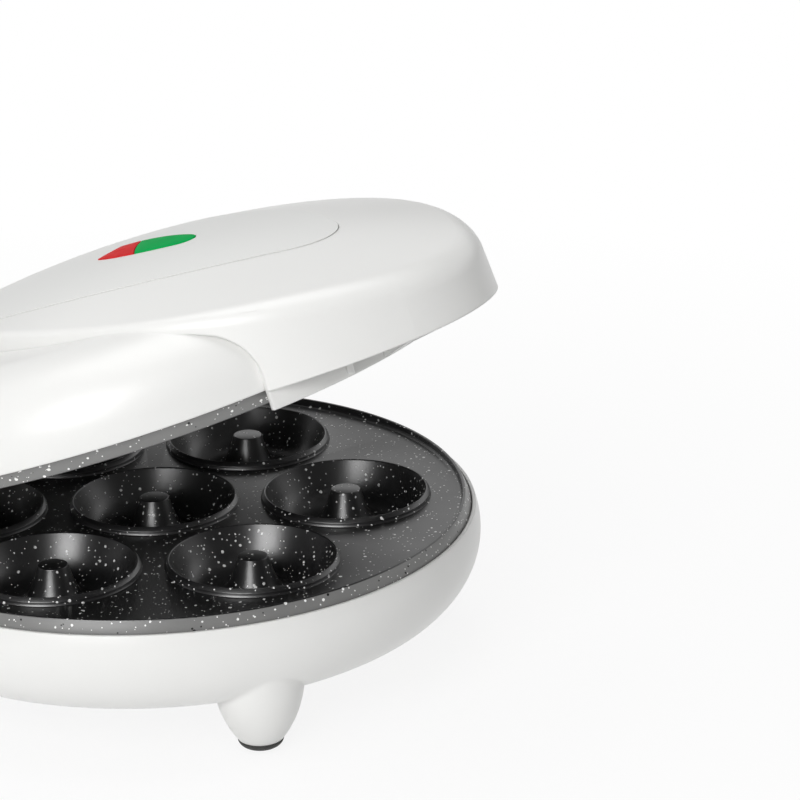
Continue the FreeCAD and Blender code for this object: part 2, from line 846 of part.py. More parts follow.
# Base shell: a bowl with a full-round side on four tapered legs, with the hinge lugs and the cord's seat
def makeBaseShell():
    body = newBody("base_shell")
    centreDepth = baseDepth - sideRound
    floor = baseDepth - shellWall
    rim = sideRadiusAt(centreDepth - rimDrop)
    bowl = drawLoop(
        uprightSketch(body),
        (0, -rimDrop),
        (0, -baseDepth),
        (sideCentreRadius, -baseDepth),
        (rim, -rimDrop, sideRound, 1),
    )
    revolve(body, bowl, "Bowl")
    legTip = partingHeight - padHeight
    legTop = baseDepth - legTopRise
    for x, y in legPlaces:
        leg = drawLoop(
            uprightSketch(body, x, y),
            (0, -legTop),
            (0, -legTip),
            (legTipRadius, -legTip),
            (legTopRadius, -legTop, legFlare, 1),
        )
        revolve(body, leg, "Leg")
    addLugs(body, baseLugOffset, -1)
    hollow = drawLoop(
        uprightSketch(body),
        (0, shellWall * 4),
        (0, -floor),
        (sideCentreRadius, -floor),
        (mouthRadius, -(centreDepth + mouthRise), innerRound, 1),
        (mouthRadius, shellWall * 4),
    )
    revolve(body, hollow, "Hollow", cut=True)
    for x, y in bossPlaces:
        tower = drawLoop(
            uprightSketch(body, x, y),
            (0, -seatDepth),
            (0, -(baseDepth - shellWall / 2)),
            (towerRadius, -(baseDepth - shellWall / 2)),
            (towerRadius, -seatDepth),
        )
        revolve(body, tower, "Tower")
        bore = drawLoop(
            uprightSketch(body, x, y),
            (0, -bossDepth),
            (0, -(baseDepth + shellWall)),
            (headBore, -(baseDepth + shellWall)),
            (headBore, -(baseDepth - headRecess)),
            (screwHole, -(baseDepth - headRecess)),
            (screwHole, -bossDepth),
        )
        revolve(body, bore, "ScrewBore", cut=True)
    seat = drawLoop(
        uprightSketch(body, 0, blockReach),
        (0, -(leadDepth + blockHeight / 2)),
        (0, -(baseDepth - shellWall / 2)),
        (blockWidth / 2, -(baseDepth - shellWall / 2)),
        (blockWidth / 2, -(leadDepth + blockHeight / 2)),
    )
    revolve(body, seat, "BlockSeat")
    pilot = drawLoop(
        uprightSketch(body, 0, blockReach),
        (0, -leadDepth),
        (0, -(baseDepth - shellWall)),
        (blockScrewRadius + threadFit, -(baseDepth - shellWall)),
        (blockScrewRadius + threadFit, -leadDepth),
    )
    revolve(body, pilot, "BlockPilot", cut=True)
    cordSeat = drawLoop(
        newSketch(body, "YZ_Plane", up=-bushDrop),
        (bushSeatIn, 0),
        (bushSeatOut, 0),
        (bushSeatOut, bushSeatRadius),
        (bushSeatIn, bushSeatRadius),
    )
    revolve(body, cordSeat, "CordSeat", axis="H_Axis")
    cordBore = drawLoop(
        newSketch(body, "YZ_Plane", up=-bushDrop),
        (bushSeatIn - shellWall, 0),
        (bushSeatOut + shellWall, 0),
        (bushSeatOut + shellWall, bushRadius + bushFit),
        (bushSeatIn - shellWall, bushRadius + bushFit),
    )
    revolve(body, cordBore, "CordBore", cut=True, axis="H_Axis")
    for x, y in legPlaces:
        socket = drawLoop(
            uprightSketch(body, x, y),
            (0, -(legTip - padStemLength)),
            (0, -partingHeight),
            (padStemRadius + threadFit, -partingHeight),
            (padStemRadius + threadFit, -(legTip - padStemLength)),
        )
        revolve(body, socket, "PadSocket", cut=True)
    boreLugs(body, pinRadius + threadFit)
    return settle(body, inLid=False)


legPlaces = [(sx * legX, sy * legY) for sx in (-1, 1) for sy in (-1, 1)]


# Lid cover: the canopy with its nose laid over the round housing, hollowed from below.
# Under the nose an apron closes the front of the plate, with gusset ribs out to the skin
def makeLidCover():
    canopy = roundShoulder("CanopyRounded", canopyBlock("CanopyOuter", 0, 0, lidRimRise))
    arched = combine("Cut", "CanopyArched", canopy, archBlock("ArchesOuter", asSize(0)))
    centre = lidCrownHeight - sideRound
    housing = newBody("Housing")
    bun = drawLoop(
        uprightSketch(housing),
        (0, lidCrownHeight),
        (0, lidRimRise),
        (sideRadiusAt(centre - lidRimRise), lidRimRise),
        (sideCentreRadius, lidCrownHeight, sideRound, 1),
    )
    revolve(housing, bun, "Bun")
    addLugs(housing, lidLugOffset, 1)
    outer = fuseAll("CoverOuter", [arched, housing])

    canopyInner = canopyBlock("CanopyInner", shellWall, shellWall, lidRimRise - shellWall)
    archedInner = combine("Cut", "CanopyInnerArched", canopyInner, archBlock("ArchesInner", shellWall))
    below = lidRimRise - shellWall * 4
    housingInner = newBody("HousingInner")
    bunInner = drawLoop(
        uprightSketch(housingInner),
        (0, lidCrownHeight - shellWall),
        (0, below),
        (mouthRadius, below),
        (mouthRadius, centre + mouthRise),
        (sideCentreRadius, lidCrownHeight - shellWall, innerRound, 1),
    )
    revolve(housingInner, bunInner, "BunInner")
    opening = canopyBlock("CrownOpening", shellWall * 3, shellWall, lidCrownHeight - shellWall * 2)
    hollow = fuseAll("CoverHollow", [archedInner, housingInner, opening])
    shell = combine("Cut", "CoverShell", outer, hollow)

    fittings = newBody("CoverFittings")
    apron = drawLoop(
        newSketch(fittings, "YZ_Plane"),
        (-apronRadius, -apronDrop),
        (-(apronRadius - apronWall), -apronDrop),
        (-(apronRadius - apronWall), domeHeight),
        (-apronRadius, domeHeight),
    )
    revolve(fittings, apron, "Apron", span=apronSpan)
    for number in range(round(gussetCount.value)):
        angle = (number - (gussetCount - 1) / 2) * gussetPitch
        addGusset(fittings, angle)
    clip = canopyBlock("FittingsClip", fittingsInset, shellWall / 2, -apronDrop * 2)
    clipped = combine("Common", "ClippedFittings", fittings, clip)

    towers = []
    for number, (x, y) in enumerate(bossPlaces):
        body = newBody(f"LidTower{number}")
        tower = drawLoop(
            uprightSketch(body, x, y),
            (0, lidSeat),
            (towerRadius, lidSeat),
            (towerRadius, domeHeight),
            (0, domeHeight),
        )
        revolve(body, tower, "Tower")
        cutDome(body, shellWall / 2, keepBelow=True)
        towers.append(body)
    moulding = fuseAll("CoverMoulding", [shell, clipped] + towers)

    recess = domeSheet("PanelRecess", panelOutline(-panelClearance), panelSeat, None)
    for x, y in bossPlaces:
        bore = drawLoop(
            uprightSketch(recess, x, y),
            (0, bossDepth),
            (screwHole, bossDepth),
            (screwHole, lidSeat + headRecess),
            (headBore, lidSeat + headRecess),
            (headBore, domeClear),
            (0, domeClear),
        )
        revolve(recess, bore, "ScrewBore")
    for reach in (lampRedReach, lampGreenReach):
        window = drawLoop(
            uprightSketch(recess, 0, -reach),
            (0, lidCrownHeight),
            (lampRadius + lampDrop, lidCrownHeight),
            (lampRadius + lampDrop, domeClear),
            (0, domeClear),
        )
        revolve(recess, window, "LampWindow")
    pinBore = document.addObject("Part::Cylinder", "LidPinBore")
    bind(pinBore, "Radius", pinRadius + pinFit)
    bind(pinBore, "Height", baseLugOffset * 2)
    pinBore.Placement = FreeCAD.Placement(Vector(0, 0, 0), FreeCAD.Rotation(Vector(0, 1, 0), 90))
    bind(pinBore, "Placement.Base.x", -baseLugOffset)
    bind(pinBore, "Placement.Base.y", hingeReach)
    cuts = document.addObject("Part::Compound", "CoverCuts")
    cuts.Links = [recess, pinBore]
    document.recompute()
    cover = combine("Cut", "lid_cover", moulding, cuts)
    return settle(cover, inLid=True)


# A gusset rib stands square to the nose, from the apron out to the skin
def addGusset(body, angle):
    across = canopyNoseCentre * cosine(angle)
    middle = apronRadius - apronWall / 2
    behind = canopyNoseCentre * canopyNoseCentre
    near = root(across * across + middle * middle - behind) - across
    sketch = drawLoop(
        turnedSketch(body, -canopyNoseCentre, angle),
        (near, -apronDrop),
        (noseRadius, lidRimRise),
        (noseRadius, gussetTop),
        (near, gussetTop),
    )
    extrude(body, sketch, "Gusset", gussetWall, middle=True)


# Oval panel that hides the lid's screws, with the window for the lenses
def makeTopPanel():
    sheetBody = domeSheet("PanelSheet", panelOutline(), panelSeat, -panelProud)
    window = domeSheet("PanelWindow", lensOutline(-panelClearance), panelThickness * 2, None)
    return settle(combine("Cut", "top_panel", sheetBody, window), inLid=True)


def makeLenses():
    blank = domeSheet("LensBlank", lensOutline(), panelSeat, -(panelProud + lensProud))
    for label, kind, radius in (
        ("green_lens", "Common", lensDivideRadius),
        ("red_lens", "Cut", lensDivideRadius + lensDivideGap),
    ):
        divide = document.addObject("Part::Cylinder", f"{label}_divide")
        bind(divide, "Radius", radius)
        bind(divide, "Height", domeClear)
        bind(divide, "Placement.Base.x", lensDivideAside)
        bind(divide, "Placement.Base.y", -lensDivideReach)
        settle(combine(kind, label, blank, divide), inLid=True)


# Indicator lamps under the lenses and the holder that hangs from the cover between them
def makeLamps():
    top = domeHeight - shellWall - lampDrop
    shoulder = top - lampRadius / 2
    profile = [
        (0, top - lampLength),
        (lampRadius, top - lampLength),
        (lampRadius, shoulder),
        (lampRadius / 2, top),
        (0, top),
    ]
    lamps = [turnedSolid(profile, 0, -reach) for reach in (lampRedReach, lampGreenReach)]
    makeFeature("indicator_lamps", Part.makeCompound(lamps), inLid=True)

    body = newBody("lamp_holder")
    low = top - lampLength + lampDrop
    margin = lampRadius * 2
    block = drawLoop(
        newSketch(body, "XY_Plane", out=low),
        (-margin, -(lampGreenReach + margin)),
        (margin, -(lampGreenReach + margin)),
        (margin, -(lampRedReach - margin)),
        (-margin, -(lampRedReach - margin)),
    )
    extrude(body, block, "Block", lampLength / 2)
    post = newSketch(body, "XY_Plane", out=low)
    between = (lampRedReach + lampGreenReach) / 2
    drawCircle(post, 0, -between, lampRadius)
    ceiling = domeRadius - shellWall
    edge = between - domeReach + lampRadius
    under = domeCentre + root(ceiling * ceiling - edge * edge)
    extrude(body, post, "Post", under - threadFit - low)
    for reach in (lampRedReach, lampGreenReach):
        socket = drawCircle(newSketch(body, "XY_Plane", out=low), 0, -reach, lampRadius + threadFit)
        extrude(body, socket, "Socket", lampLength, cut=True, reverse=True)
    settle(body, inLid=True)


# Screws through the shells' towers and the reflector pans into the plates' bosses
def makeShellScrews(label, inLid):
    if inLid:
        seat = lidSeat + headRecess
        tip = closedGap + bossDepth - pilotDepth + threadFit
        head = seat + screwHeadHeight
    else:
        seat = -(baseDepth - headRecess)
        tip = -(bossDepth - pilotDepth + threadFit)
        head = seat - screwHeadHeight
    profile = [(0, tip), (screwRadius, tip), (screwRadius, seat), (screwHeadRadius, seat),
               (screwHeadRadius, head), (0, head)]
    makeFeature(label, Part.makeCompound([turnedSolid(profile, x, y) for x, y in bossPlaces]), inLid)


def makeStrapScrews(label, inLid):
    seat = level(seatDepth + strapThickness, inLid)
    head = level(seatDepth + strapThickness + strapScrewHeadHeight, inLid)
    tip = level(seatDepth + strapThickness - strapScrewLength, inLid)
    profile = [(0, tip), (strapScrewRadius, tip), (strapScrewRadius, seat), (strapScrewHead, seat),
               (strapScrewHead, head), (0, head)]
    places = [(0, sign * strapScrewSpacing / 2) for sign in (-1, 1)]
    makeFeature(label, Part.makeCompound([turnedSolid(profile, x, y) for x, y in places]), inLid)


# Thermostat: a capped disc against the middle cavity, held by a strap under the pan
def makeThermostat():
    body = newBody("thermostat")
    foot = bowlUnder + thermostatHeight
    can = drawLoop(
        uprightSketch(body),
        (0, -bowlUnder),
        (0, -foot),
        (thermostatBody, -foot),
        (thermostatBody, -seatDepth),
        (thermostatFlange, -seatDepth),
        (thermostatFlange, -bossDepth + panWall),
        (thermostatCap, -bossDepth + panWall),
        (thermostatCap, -bowlUnder),
    )
    revolve(body, can, "Can")
    tabs = drawLoop(
        newSketch(body, "XY_Plane", out=-leadDepth),
        (-tabReach, -tabWidth / 2),
        (tabReach, -tabWidth / 2),
        (tabReach, tabWidth / 2),
        (-tabReach, tabWidth / 2),
    )
    extrude(body, tabs, "Tabs", tabThickness, middle=True)
    settle(body, inLid=False)

    strap = newBody("thermostat_strap")
    plan = drawLoop(
        newSketch(strap, "XY_Plane", out=-seatDepth),
        (-strapWidth / 2, -strapLength / 2),
        (strapWidth / 2, -strapLength / 2),
        (strapWidth / 2, strapLength / 2),
        (-strapWidth / 2, strapLength / 2),
    )
    drawCircle(plan, 0, 0, thermostatBody + bushFit)
    for sign in (-1, 1):
        drawCircle(plan, 0, sign * strapScrewSpacing / 2, strapScrewRadius + threadFit)
    extrude(strap, plan, "Strap", strapThickness, reverse=True)
    settle(strap, inLid=False)


# Thermal fuse on the upper plate's middle cavity, under a hat-shaped clip
def makeFuse():
    z = level(bowlUnder + fuseRadius, True).value
    start = Vector(-fuseLength.value / 2, 0, z)
    fuse = Part.makeCylinder(fuseRadius.value, fuseLength.value, start, Vector(1, 0, 0))
    makeFeature("thermal_fuse", fuse, inLid=True)

    body = newBody("fuse_clip")
    foot = level(seatDepth, True)
    crown = level(bowlUnder + fuseRadius * 2, True)
    hat = fuseRadius * 1.5
    ankle = panWindow + fuseRadius / 2
    toe = strapLength / 2
    profile = drawLoop(
        newSketch(body, "YZ_Plane"),
        (-toe, foot),
        (-ankle, foot),
        (-hat, crown),
        (hat, crown),
        (ankle, foot),
        (toe, foot),
        (toe, foot + strapThickness),
        (ankle, foot + strapThickness),
        (hat, crown + strapThickness),
        (-hat, crown + strapThickness),
        (-ankle, foot + strapThickness),
        (-toe, foot + strapThickness),
    )
    extrude(body, profile, "Hat", clipWidth, middle=True)
    holes = newSketch(body, "XY_Plane", out=foot)
    for sign in (-1, 1):
        drawCircle(holes, 0, sign * strapScrewSpacing / 2, strapScrewRadius + threadFit)
    extrude(body, holes, "Holes", strapThickness * 4, cut=True, middle=True)
    settle(body, inLid=True)


# Terminal block on its seat in the base, with its screw
def makeTerminalBlock():
    body = newBody("terminal_block")
    foot = -(leadDepth + blockHeight / 2)
    plan = drawLoop(
        newSketch(body, "XY_Plane", out=foot),
        (-blockLength / 2, blockReach - blockWidth / 2),
        (blockLength / 2, blockReach - blockWidth / 2),
        (blockLength / 2, blockReach + blockWidth / 2),
        (-blockLength / 2, blockReach + blockWidth / 2),
    )
    drawCircle(plan, 0, blockReach, blockScrewRadius + threadFit)
    extrude(body, plan, "Block", blockHeight)
    bores = newSketch(body, "XZ_Plane", out=-blockReach)
    for sign in (-1, 1):
        drawCircle(bores, sign * blockBoreSpacing / 2, -leadDepth, blockBore)
    extrude(body, bores, "Bores", blockWidth * 2, cut=True, middle=True)
    settle(body, inLid=False)

    top = foot + blockHeight
    tip = -(baseDepth - shellWall) + threadFit
    head = top + strapScrewHeadHeight
    profile = [(0, tip), (blockScrewRadius, tip), (blockScrewRadius, top), (strapScrewHead, top),
               (strapScrewHead, head), (0, head)]
    makeFeature("block_screw", Part.makeCompound([turnedSolid(profile, 0, blockReach)]), inLid=False)


# Bush for the mains cord, with a flange on each side of its seat
def makeCordBush():
    body = newBody("cord_bush")
    outer = drawLoop(
        newSketch(body, "YZ_Plane", up=-bushDrop),
        (bushSeatIn - bushFlangeWall, bushBore),
        (bushSeatOut + bushFlangeWall, bushBore),
        (bushSeatOut + bushFlangeWall, bushFlange),
        (bushSeatOut, bushFlange),
        (bushSeatOut, bushRadius),
        (bushSeatIn, bushRadius),
        (bushSeatIn, bushRadius + bushFlangeWall / 2),
        (bushSeatIn - bushFlangeWall, bushRadius + bushFlangeWall / 2),
    )
    revolve(body, outer, "Bush", axis="H_Axis")
    settle(body, inLid=False)


def makeFootPads():
    sole = -partingHeight
    top = sole + padHeight
    profile = [(0, sole), (padRadius - padRound, sole), (padRadius, sole + padRound), (padRadius, top),
               (padStemRadius, top), (padStemRadius, top + padStemLength - threadFit),
               (0, top + padStemLength - threadFit)]
    makeFeature("foot_pads", Part.makeCompound([turnedSolid(profile, x, y) for x, y in legPlaces]), False)


def makeHingePins():
    pins = []
    for number, sign in enumerate((-1, 1)):
        pin = document.addObject("Part::Cylinder", f"HingePin{number}")
        length = lugWall * 2 + lugGap
        bind(pin, "Radius", pinRadius)
        bind(pin, "Height", length)
        pin.Placement = FreeCAD.Placement(Vector(0, 0, 0), FreeCAD.Rotation(Vector(0, 1, 0), 90))
        middle = sign * (lidLugOffset + baseLugOffset) / 2
        bind(pin, "Placement.Base.x", middle - length / 2)
        bind(pin, "Placement.Base.y", hingeReach)
        pins.append(pin)
    pair = document.addObject("Part::Compound", "hinge_pins")
    pair.Label = "hinge_pins"
    pair.Links = pins
    document.recompute()
    settle(pair, inLid=False)


# Insulated leads between the block, the thermostat, the fuse and the ends of the elements
def pinPlace(sign):
    halfGap = math.radians(elementGap.value / 2)
    along = elementRadius.value * math.sin(halfGap) - elementBend.value * math.cos(halfGap)
    back = elementRadius.value * math.cos(halfGap) + elementBend.value * math.sin(halfGap)
    return sign * along, back


def makeLowerLeads():
    z = -leadDepth.value
    gap = leadEndGap.value
    bore = blockBoreSpacing.value / 2
    near = blockReach.value - blockWidth.value / 4
    rear = blockReach.value + blockWidth.value / 4
    pinX, pinY = pinPlace(1)
    aside = tabReach.value + leadBend.value * 1.1
    stop = pinY - elementPin.value - gap
    pinZ = level(elementLegDepth + elementPinLength / 2, False).value
    before = near - blockWidth.value * 0.75
    behind = pinY - leadBend.value / 4
    tab = tabReach.value + gap
    routes = [
        [(-bore, near, z), (-bore, before, z), (-aside, near / 2, z), (-aside, 0, z), (-tab, 0, z)],
        [(tab, 0, z), (aside, 0, z), (aside, near / 2, z), (pinX, near, z), (pinX, stop, pinZ)],
        [(bore, rear, z), (bore, behind, z), (-(pinX - elementPin.value - gap), pinY, pinZ)],
    ]
    leads = [bentTube([Vector(*place) for place in route], leadBend.value * 0.9, leadRadius.value)
             for route in routes]
    makeFeature("lower_leads", Part.makeCompound(leads), inLid=False)


def makeUpperLeads():
    z = level(leadDepth, True).value
    low = level(bowlUnder + fuseRadius, True).value
    gap = leadEndGap.value
    bend = leadRadius.value * 2.5
    pinX, pinY = pinPlace(1)
    stop = pinY - elementPin.value - gap
    pinZ = level(elementLegDepth + elementPinLength / 2, True).value
    start = fuseLength.value / 2 + gap
    rise = start + bend * 1.1
    aside = tabReach.value + leadBend.value * 1.1
    over = z + leadRadius.value - (lidCrownHeight - sideRound).value
    inner = sideCentreRadius.value + math.sqrt(innerRound.value ** 2 - over ** 2)

    def toWall(x):
        return x, math.sqrt(inner ** 2 - (abs(x) + leadRadius.value) ** 2) - leadWallGap.value, z

    turned = [(aside, 0, z), (aside, stop / 2, z), (pinX, stop * 0.75, z), (pinX, stop, pinZ)]
    back = [(-aside, 0, z), (-aside, stop / 2, z), (-bend * 3, stop * 0.8, z), toWall(-bend * 3)]
    routes = [
        [(start, 0, low), (rise, 0, low), (rise, 0, z)] + turned,
        [(-start, 0, low), (-rise, 0, low), (-rise, 0, z)] + back,
        [(-(pinX - elementPin.value - gap), pinY, pinZ), (-bend * 5, pinY, z), toWall(-bend * 5)],
    ]
    leads = [bentTube([Vector(*place) for place in route], bend, leadRadius.value) for route in routes]
    makeFeature("upper_leads", Part.makeCompound(leads), inLid=True)


makeBaseShell()
makeFootPads()
makePlate("lower_plate", inLid=False)
makeElement("lower_element", inLid=False)
makePan("lower_reflector", inLid=False)
makeThermostat()
makeStrapScrews("strap_screws", inLid=False)
makeTerminalBlock()
makeCordBush()
makeShellScrews("base_screws", inLid=False)
makeHingePins()
makeLowerLeads()
makeLidCover()
makeTopPanel()
makeLenses()
makeLamps()
makePlate("upper_plate", inLid=True)
makeElement("upper_element", inLid=True)
makePan("upper_reflector", inLid=True)
makeFuse()
makeStrapScrews("clip_screws", inLid=True)
makeShellScrews("lid_screws", inLid=True)
makeUpperLeads()

document.recompute()
for item in document.Objects:
    if "Invalid" in item.State or "Error" in item.State:
        raise RuntimeError(f"{item.Label} failed: {item.State}")
    if item.TypeId in ("PartDesign::Pocket", "PartDesign::Groove"):
        if item.Shape.Volume > item.BaseFeature.Shape.Volume - 1e-6:
            raise RuntimeError(f"{item.Label} cut nothing")
os.makedirs("parts", exist_ok=True)
for node in nodes:
    if node.Shape.isNull() or not node.Shape.isValid():
        raise RuntimeError(f"{node.Label} has no valid shape")
for node in nodes:
    node.Shape.exportStep(f"parts/{node.Label}.step")
    box = node.Shape.BoundBox
    spans = ((box.XMin, box.XMax), (box.YMin, box.YMax), (box.ZMin, box.ZMax))
    reach = ", ".join(f"{axis} {low:.1f} {high:.1f}" for axis, (low, high) in zip("xyz", spans))
    print(f"{node.Label}: {len(node.Shape.Solids)} solids, {node.Shape.Volume / 1000:.1f} cm3, {reach}")
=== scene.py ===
import bpy
import bmesh
import json
import math
from mathutils import Matrix, Vector


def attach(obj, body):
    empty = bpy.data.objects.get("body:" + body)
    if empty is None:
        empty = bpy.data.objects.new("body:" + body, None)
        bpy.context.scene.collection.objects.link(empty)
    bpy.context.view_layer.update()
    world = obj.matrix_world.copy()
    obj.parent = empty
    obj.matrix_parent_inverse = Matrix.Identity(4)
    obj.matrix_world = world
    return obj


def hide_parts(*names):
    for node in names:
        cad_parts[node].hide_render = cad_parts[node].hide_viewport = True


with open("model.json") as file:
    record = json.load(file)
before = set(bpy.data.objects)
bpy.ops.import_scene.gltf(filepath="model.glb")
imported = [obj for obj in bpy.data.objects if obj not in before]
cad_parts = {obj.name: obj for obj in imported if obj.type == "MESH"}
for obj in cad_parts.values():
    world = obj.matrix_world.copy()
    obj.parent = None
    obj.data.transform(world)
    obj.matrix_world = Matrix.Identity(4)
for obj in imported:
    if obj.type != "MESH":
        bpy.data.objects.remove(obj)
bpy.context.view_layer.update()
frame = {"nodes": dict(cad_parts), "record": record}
print("frame loaded,", len(frame["nodes"]), "nodes")

pureWhite = (1, 1, 1, 1)
quarterTurn = [math.radians(degrees) for degrees in (0, 30, 60, 90)]


def mm(value):
    return value / 1000


def toLinear(hexText):
    channels = [int(hexText[i:i + 2], 16) / 255 for i in (1, 3, 5)]
    linear = [c / 12.92 if c <= 0.04045 else ((c + 0.055) / 1.055) ** 2.4 for c in channels]
    return (*linear, 1)


# fills a node's inputs, each from a value or from the output that drives it
def feed(tree, node, sockets):
    for key, value in sockets.items():
        if isinstance(value, bpy.types.NodeSocket):
            tree.links.new(value, node.inputs[key])
        else:
            node.inputs[key].default_value = value


def addNode(tree, kind, sockets=None, **settings):
    node = tree.nodes.new(kind)
    for key, value in settings.items():
        setattr(node, key, value)
    feed(tree, node, sockets or {})
    return node


def addMath(tree, operation, *values):
    return addNode(tree, "ShaderNodeMath", dict(enumerate(values)), operation=operation).outputs[0]


def addVector(tree, operation, sockets, output="Vector"):
    return addNode(tree, "ShaderNodeVectorMath", sockets, operation=operation).outputs[output]


# carries a value from one span to another and stops at its ends
def addRange(tree, value, span, result):
    return addNode(tree, "ShaderNodeMapRange",
                   {"Value": value, "From Min": span[0], "From Max": span[1],
                    "To Min": result[0], "To Max": result[1]}).outputs[0]


# noise with features of a size in mm
def addNoise(tree, place, size, detail, output="Fac"):
    return addNode(tree, "ShaderNodeTexNoise",
                   {"Vector": place, "Scale": 1000 / size, "Detail": detail}).outputs[output]


# blends two tones, each a hex text or a socket
def addTone(tree, factor, first, second):
    tones = [toLinear(tone) if isinstance(tone, str) else tone for tone in (first, second)]
    return addNode(tree, "ShaderNodeMix", {"Factor": factor, "A": tones[0], "B": tones[1]},
                   data_type="RGBA").outputs["Result"]


def addBump(tree, height, depth, **more):
    return addNode(tree, "ShaderNodeBump",
                   {"Height": height, "Strength": 1, "Distance": mm(depth), **more}).outputs[0]


def startMaterial(name):
    material = bpy.data.materials.new(name)
    material.use_nodes = True
    tree = material.node_tree
    tree.nodes.clear()
    shader = addNode(tree, "ShaderNodeBsdfPrincipled")
    addNode(tree, "ShaderNodeOutputMaterial", {"Surface": shader.outputs[0]})
    place = addNode(tree, "ShaderNodeTexCoord").outputs["Object"]
    return material, tree, shader, place


# the lid's swing at rest: a place drawn with the lid shut goes to where it stands open
hinge = {"reach": 112.3, "height": 50.0, "open": 17.74}
tilt = Matrix.Rotation(math.radians(-hinge["open"]), 4, "X")
pivot = Vector((0, mm(hinge["reach"]), 0))
baseFrame = Matrix.Translation((0, 0, mm(hinge["height"])))
lidFrame = baseFrame @ Matrix.Translation(pivot) @ tilt @ Matrix.Translation(-pivot)


# injection-moulded ABS, polished tool: deep even gloss, a hint of waviness in the reflections
glossAbsLook = {"white": "#f1f1ef", "shade": "#ededeb", "mottle": 40, "gloss": (0.28, 0.34), "ior": 1.53,
                "ripple": 9, "rippleDepth": 0.008, "softEdge": 0.9, "legEase": 3.5, "legTop": (33, 37),
                "legReach": (56, 60), "edgeRays": 8}


def makeGlossAbs(look):
    material, tree, shader, place = startMaterial("glossAbs")
    cloud = addNoise(tree, place, look["mottle"], detail=2)
    ripple = addNoise(tree, place, look["ripple"], detail=1)
    # the shading normal rounds the edges: a broad fillet where the legs run out of the bowl, a small one
    # on every other edge
    small, broad = mm(look["softEdge"]), mm(look["legEase"])
    height = addNode(tree, "ShaderNodeSeparateXYZ", {0: place}).outputs[2]
    low = addRange(tree, height, [mm(v) for v in look["legTop"]], (broad, small))
    flat = addVector(tree, "MULTIPLY", {0: place, 1: (1, 1, 0)})
    reach = addVector(tree, "LENGTH", {0: flat}, "Value")
    outer = addRange(tree, reach, [mm(v) for v in look["legReach"]], (small, broad))
    edge = addNode(tree, "ShaderNodeBevel", {"Radius": addMath(tree, "MINIMUM", low, outer)},
                   samples=look["edgeRays"])
    feed(tree, shader, {
        "Base Color": addTone(tree, cloud, look["shade"], look["white"]),
        "Roughness": addRange(tree, cloud, (0, 1), look["gloss"]),
        "IOR": look["ior"],
        "Normal": addBump(tree, ripple, look["rippleDepth"], Normal=edge.outputs[0]),
    })
    return material


# the inlay is the same ABS from a finely etched tool, a little softer in its shine
satinAbsLook = {"white": "#f0f0ee", "shade": "#ecedeb", "grain": 0.9, "grainDepth": 0.003, "gloss": 0.38,
                "ior": 1.53}


def makeSatinAbs(look):
    material, tree, shader, place = startMaterial("satinAbs")
    grain = addNoise(tree, place, look["grain"], detail=3)
    feed(tree, shader, {
        "Base Color": addTone(tree, grain, look["shade"], look["white"]),
        "Roughness": look["gloss"],
        "IOR": look["ior"],
        "Normal": addBump(tree, grain, look["grainDepth"]),
    })
    return material


# sprayed stone-effect non-stick on cast aluminium: charcoal satin with white and black flecks
# flecks: cells of a size in mm, a share of them filled, radii as parts of a cell
fleckedCoatLook = {
    "charcoal": "#151516", "deep": "#0d0d0e", "fleckWhite": "#fafaf8", "fleckBlack": "#070707",
    "big": {"cell": 2.4, "share": 0.7, "radii": (0.07, 0.22)},
    "small": {"cell": 1.3, "share": 0.5, "radii": (0.1, 0.22)},
    "black": {"cell": 2.2, "share": 0.3, "radii": (0.08, 0.2)},
    "wobble": 1.1, "spread": 0.32, "cloud": 14, "grit": 0.35, "gritDepth": 0.004, "gritShare": 0.6,
    "ior": 2.1, "gloss": (0.29, 0.37),
}
# outside the rim the coat is a lighter grey, rougher and less shiny, with the same flecks
rimCoatLook = {**fleckedCoatLook, "charcoal": "#858584", "deep": "#7a7a79", "ior": 1.55,
                "gloss": (0.3, 0.4)}


def addFlecks(tree, place, cell, share, radii):
    cells = addNode(tree, "ShaderNodeTexVoronoi",
                    {"Vector": place, "Scale": 1000 / cell, "Randomness": 1}).outputs
    dice = addNode(tree, "ShaderNodeSeparateColor", {0: cells["Color"]}).outputs[0]
    radius = addRange(tree, dice, (1 - share, 1), radii)
    chosen = addMath(tree, "GREATER_THAN", dice, 1 - share)
    inside = addMath(tree, "LESS_THAN", cells["Distance"], radius)
    return addMath(tree, "MULTIPLY", chosen, inside)


def makeFleckedCoat(name, look):
    material, tree, shader, place = startMaterial(name)
    wobble = addNoise(tree, place, look["wobble"], detail=2, output="Color")
    centred = addVector(tree, "SUBTRACT", {0: wobble, 1: (0.5, 0.5, 0.5)})
    push = addVector(tree, "SCALE", {0: centred, "Scale": mm(look["spread"])})
    ragged = addVector(tree, "ADD", {0: place, 1: push})
    big, small, black = (addFlecks(tree, ragged, **look[layer]) for layer in ("big", "small", "black"))
    white = addMath(tree, "MAXIMUM", big, small)
    cloud = addNoise(tree, place, look["cloud"], detail=3)
    ground = addTone(tree, cloud, look["deep"], look["charcoal"])
    dark = addTone(tree, black, ground, look["fleckBlack"])
    grit = addNoise(tree, place, look["grit"], detail=2)
    raised = addMath(tree, "MULTIPLY_ADD", grit, look["gritShare"], white)
    feed(tree, shader, {
        "Base Color": addTone(tree, white, dark, look["fleckWhite"]),
        "Roughness": addRange(tree, cloud, (0, 1), look["gloss"]),
        "IOR": look["ior"],
        "Normal": addBump(tree, raised, look["gritDepth"]),
    })
    return material


# a plain solid material: a fine two-tone grain, a matching bump and a shine that varies with it
shineSpread = (0.8, 1.2)


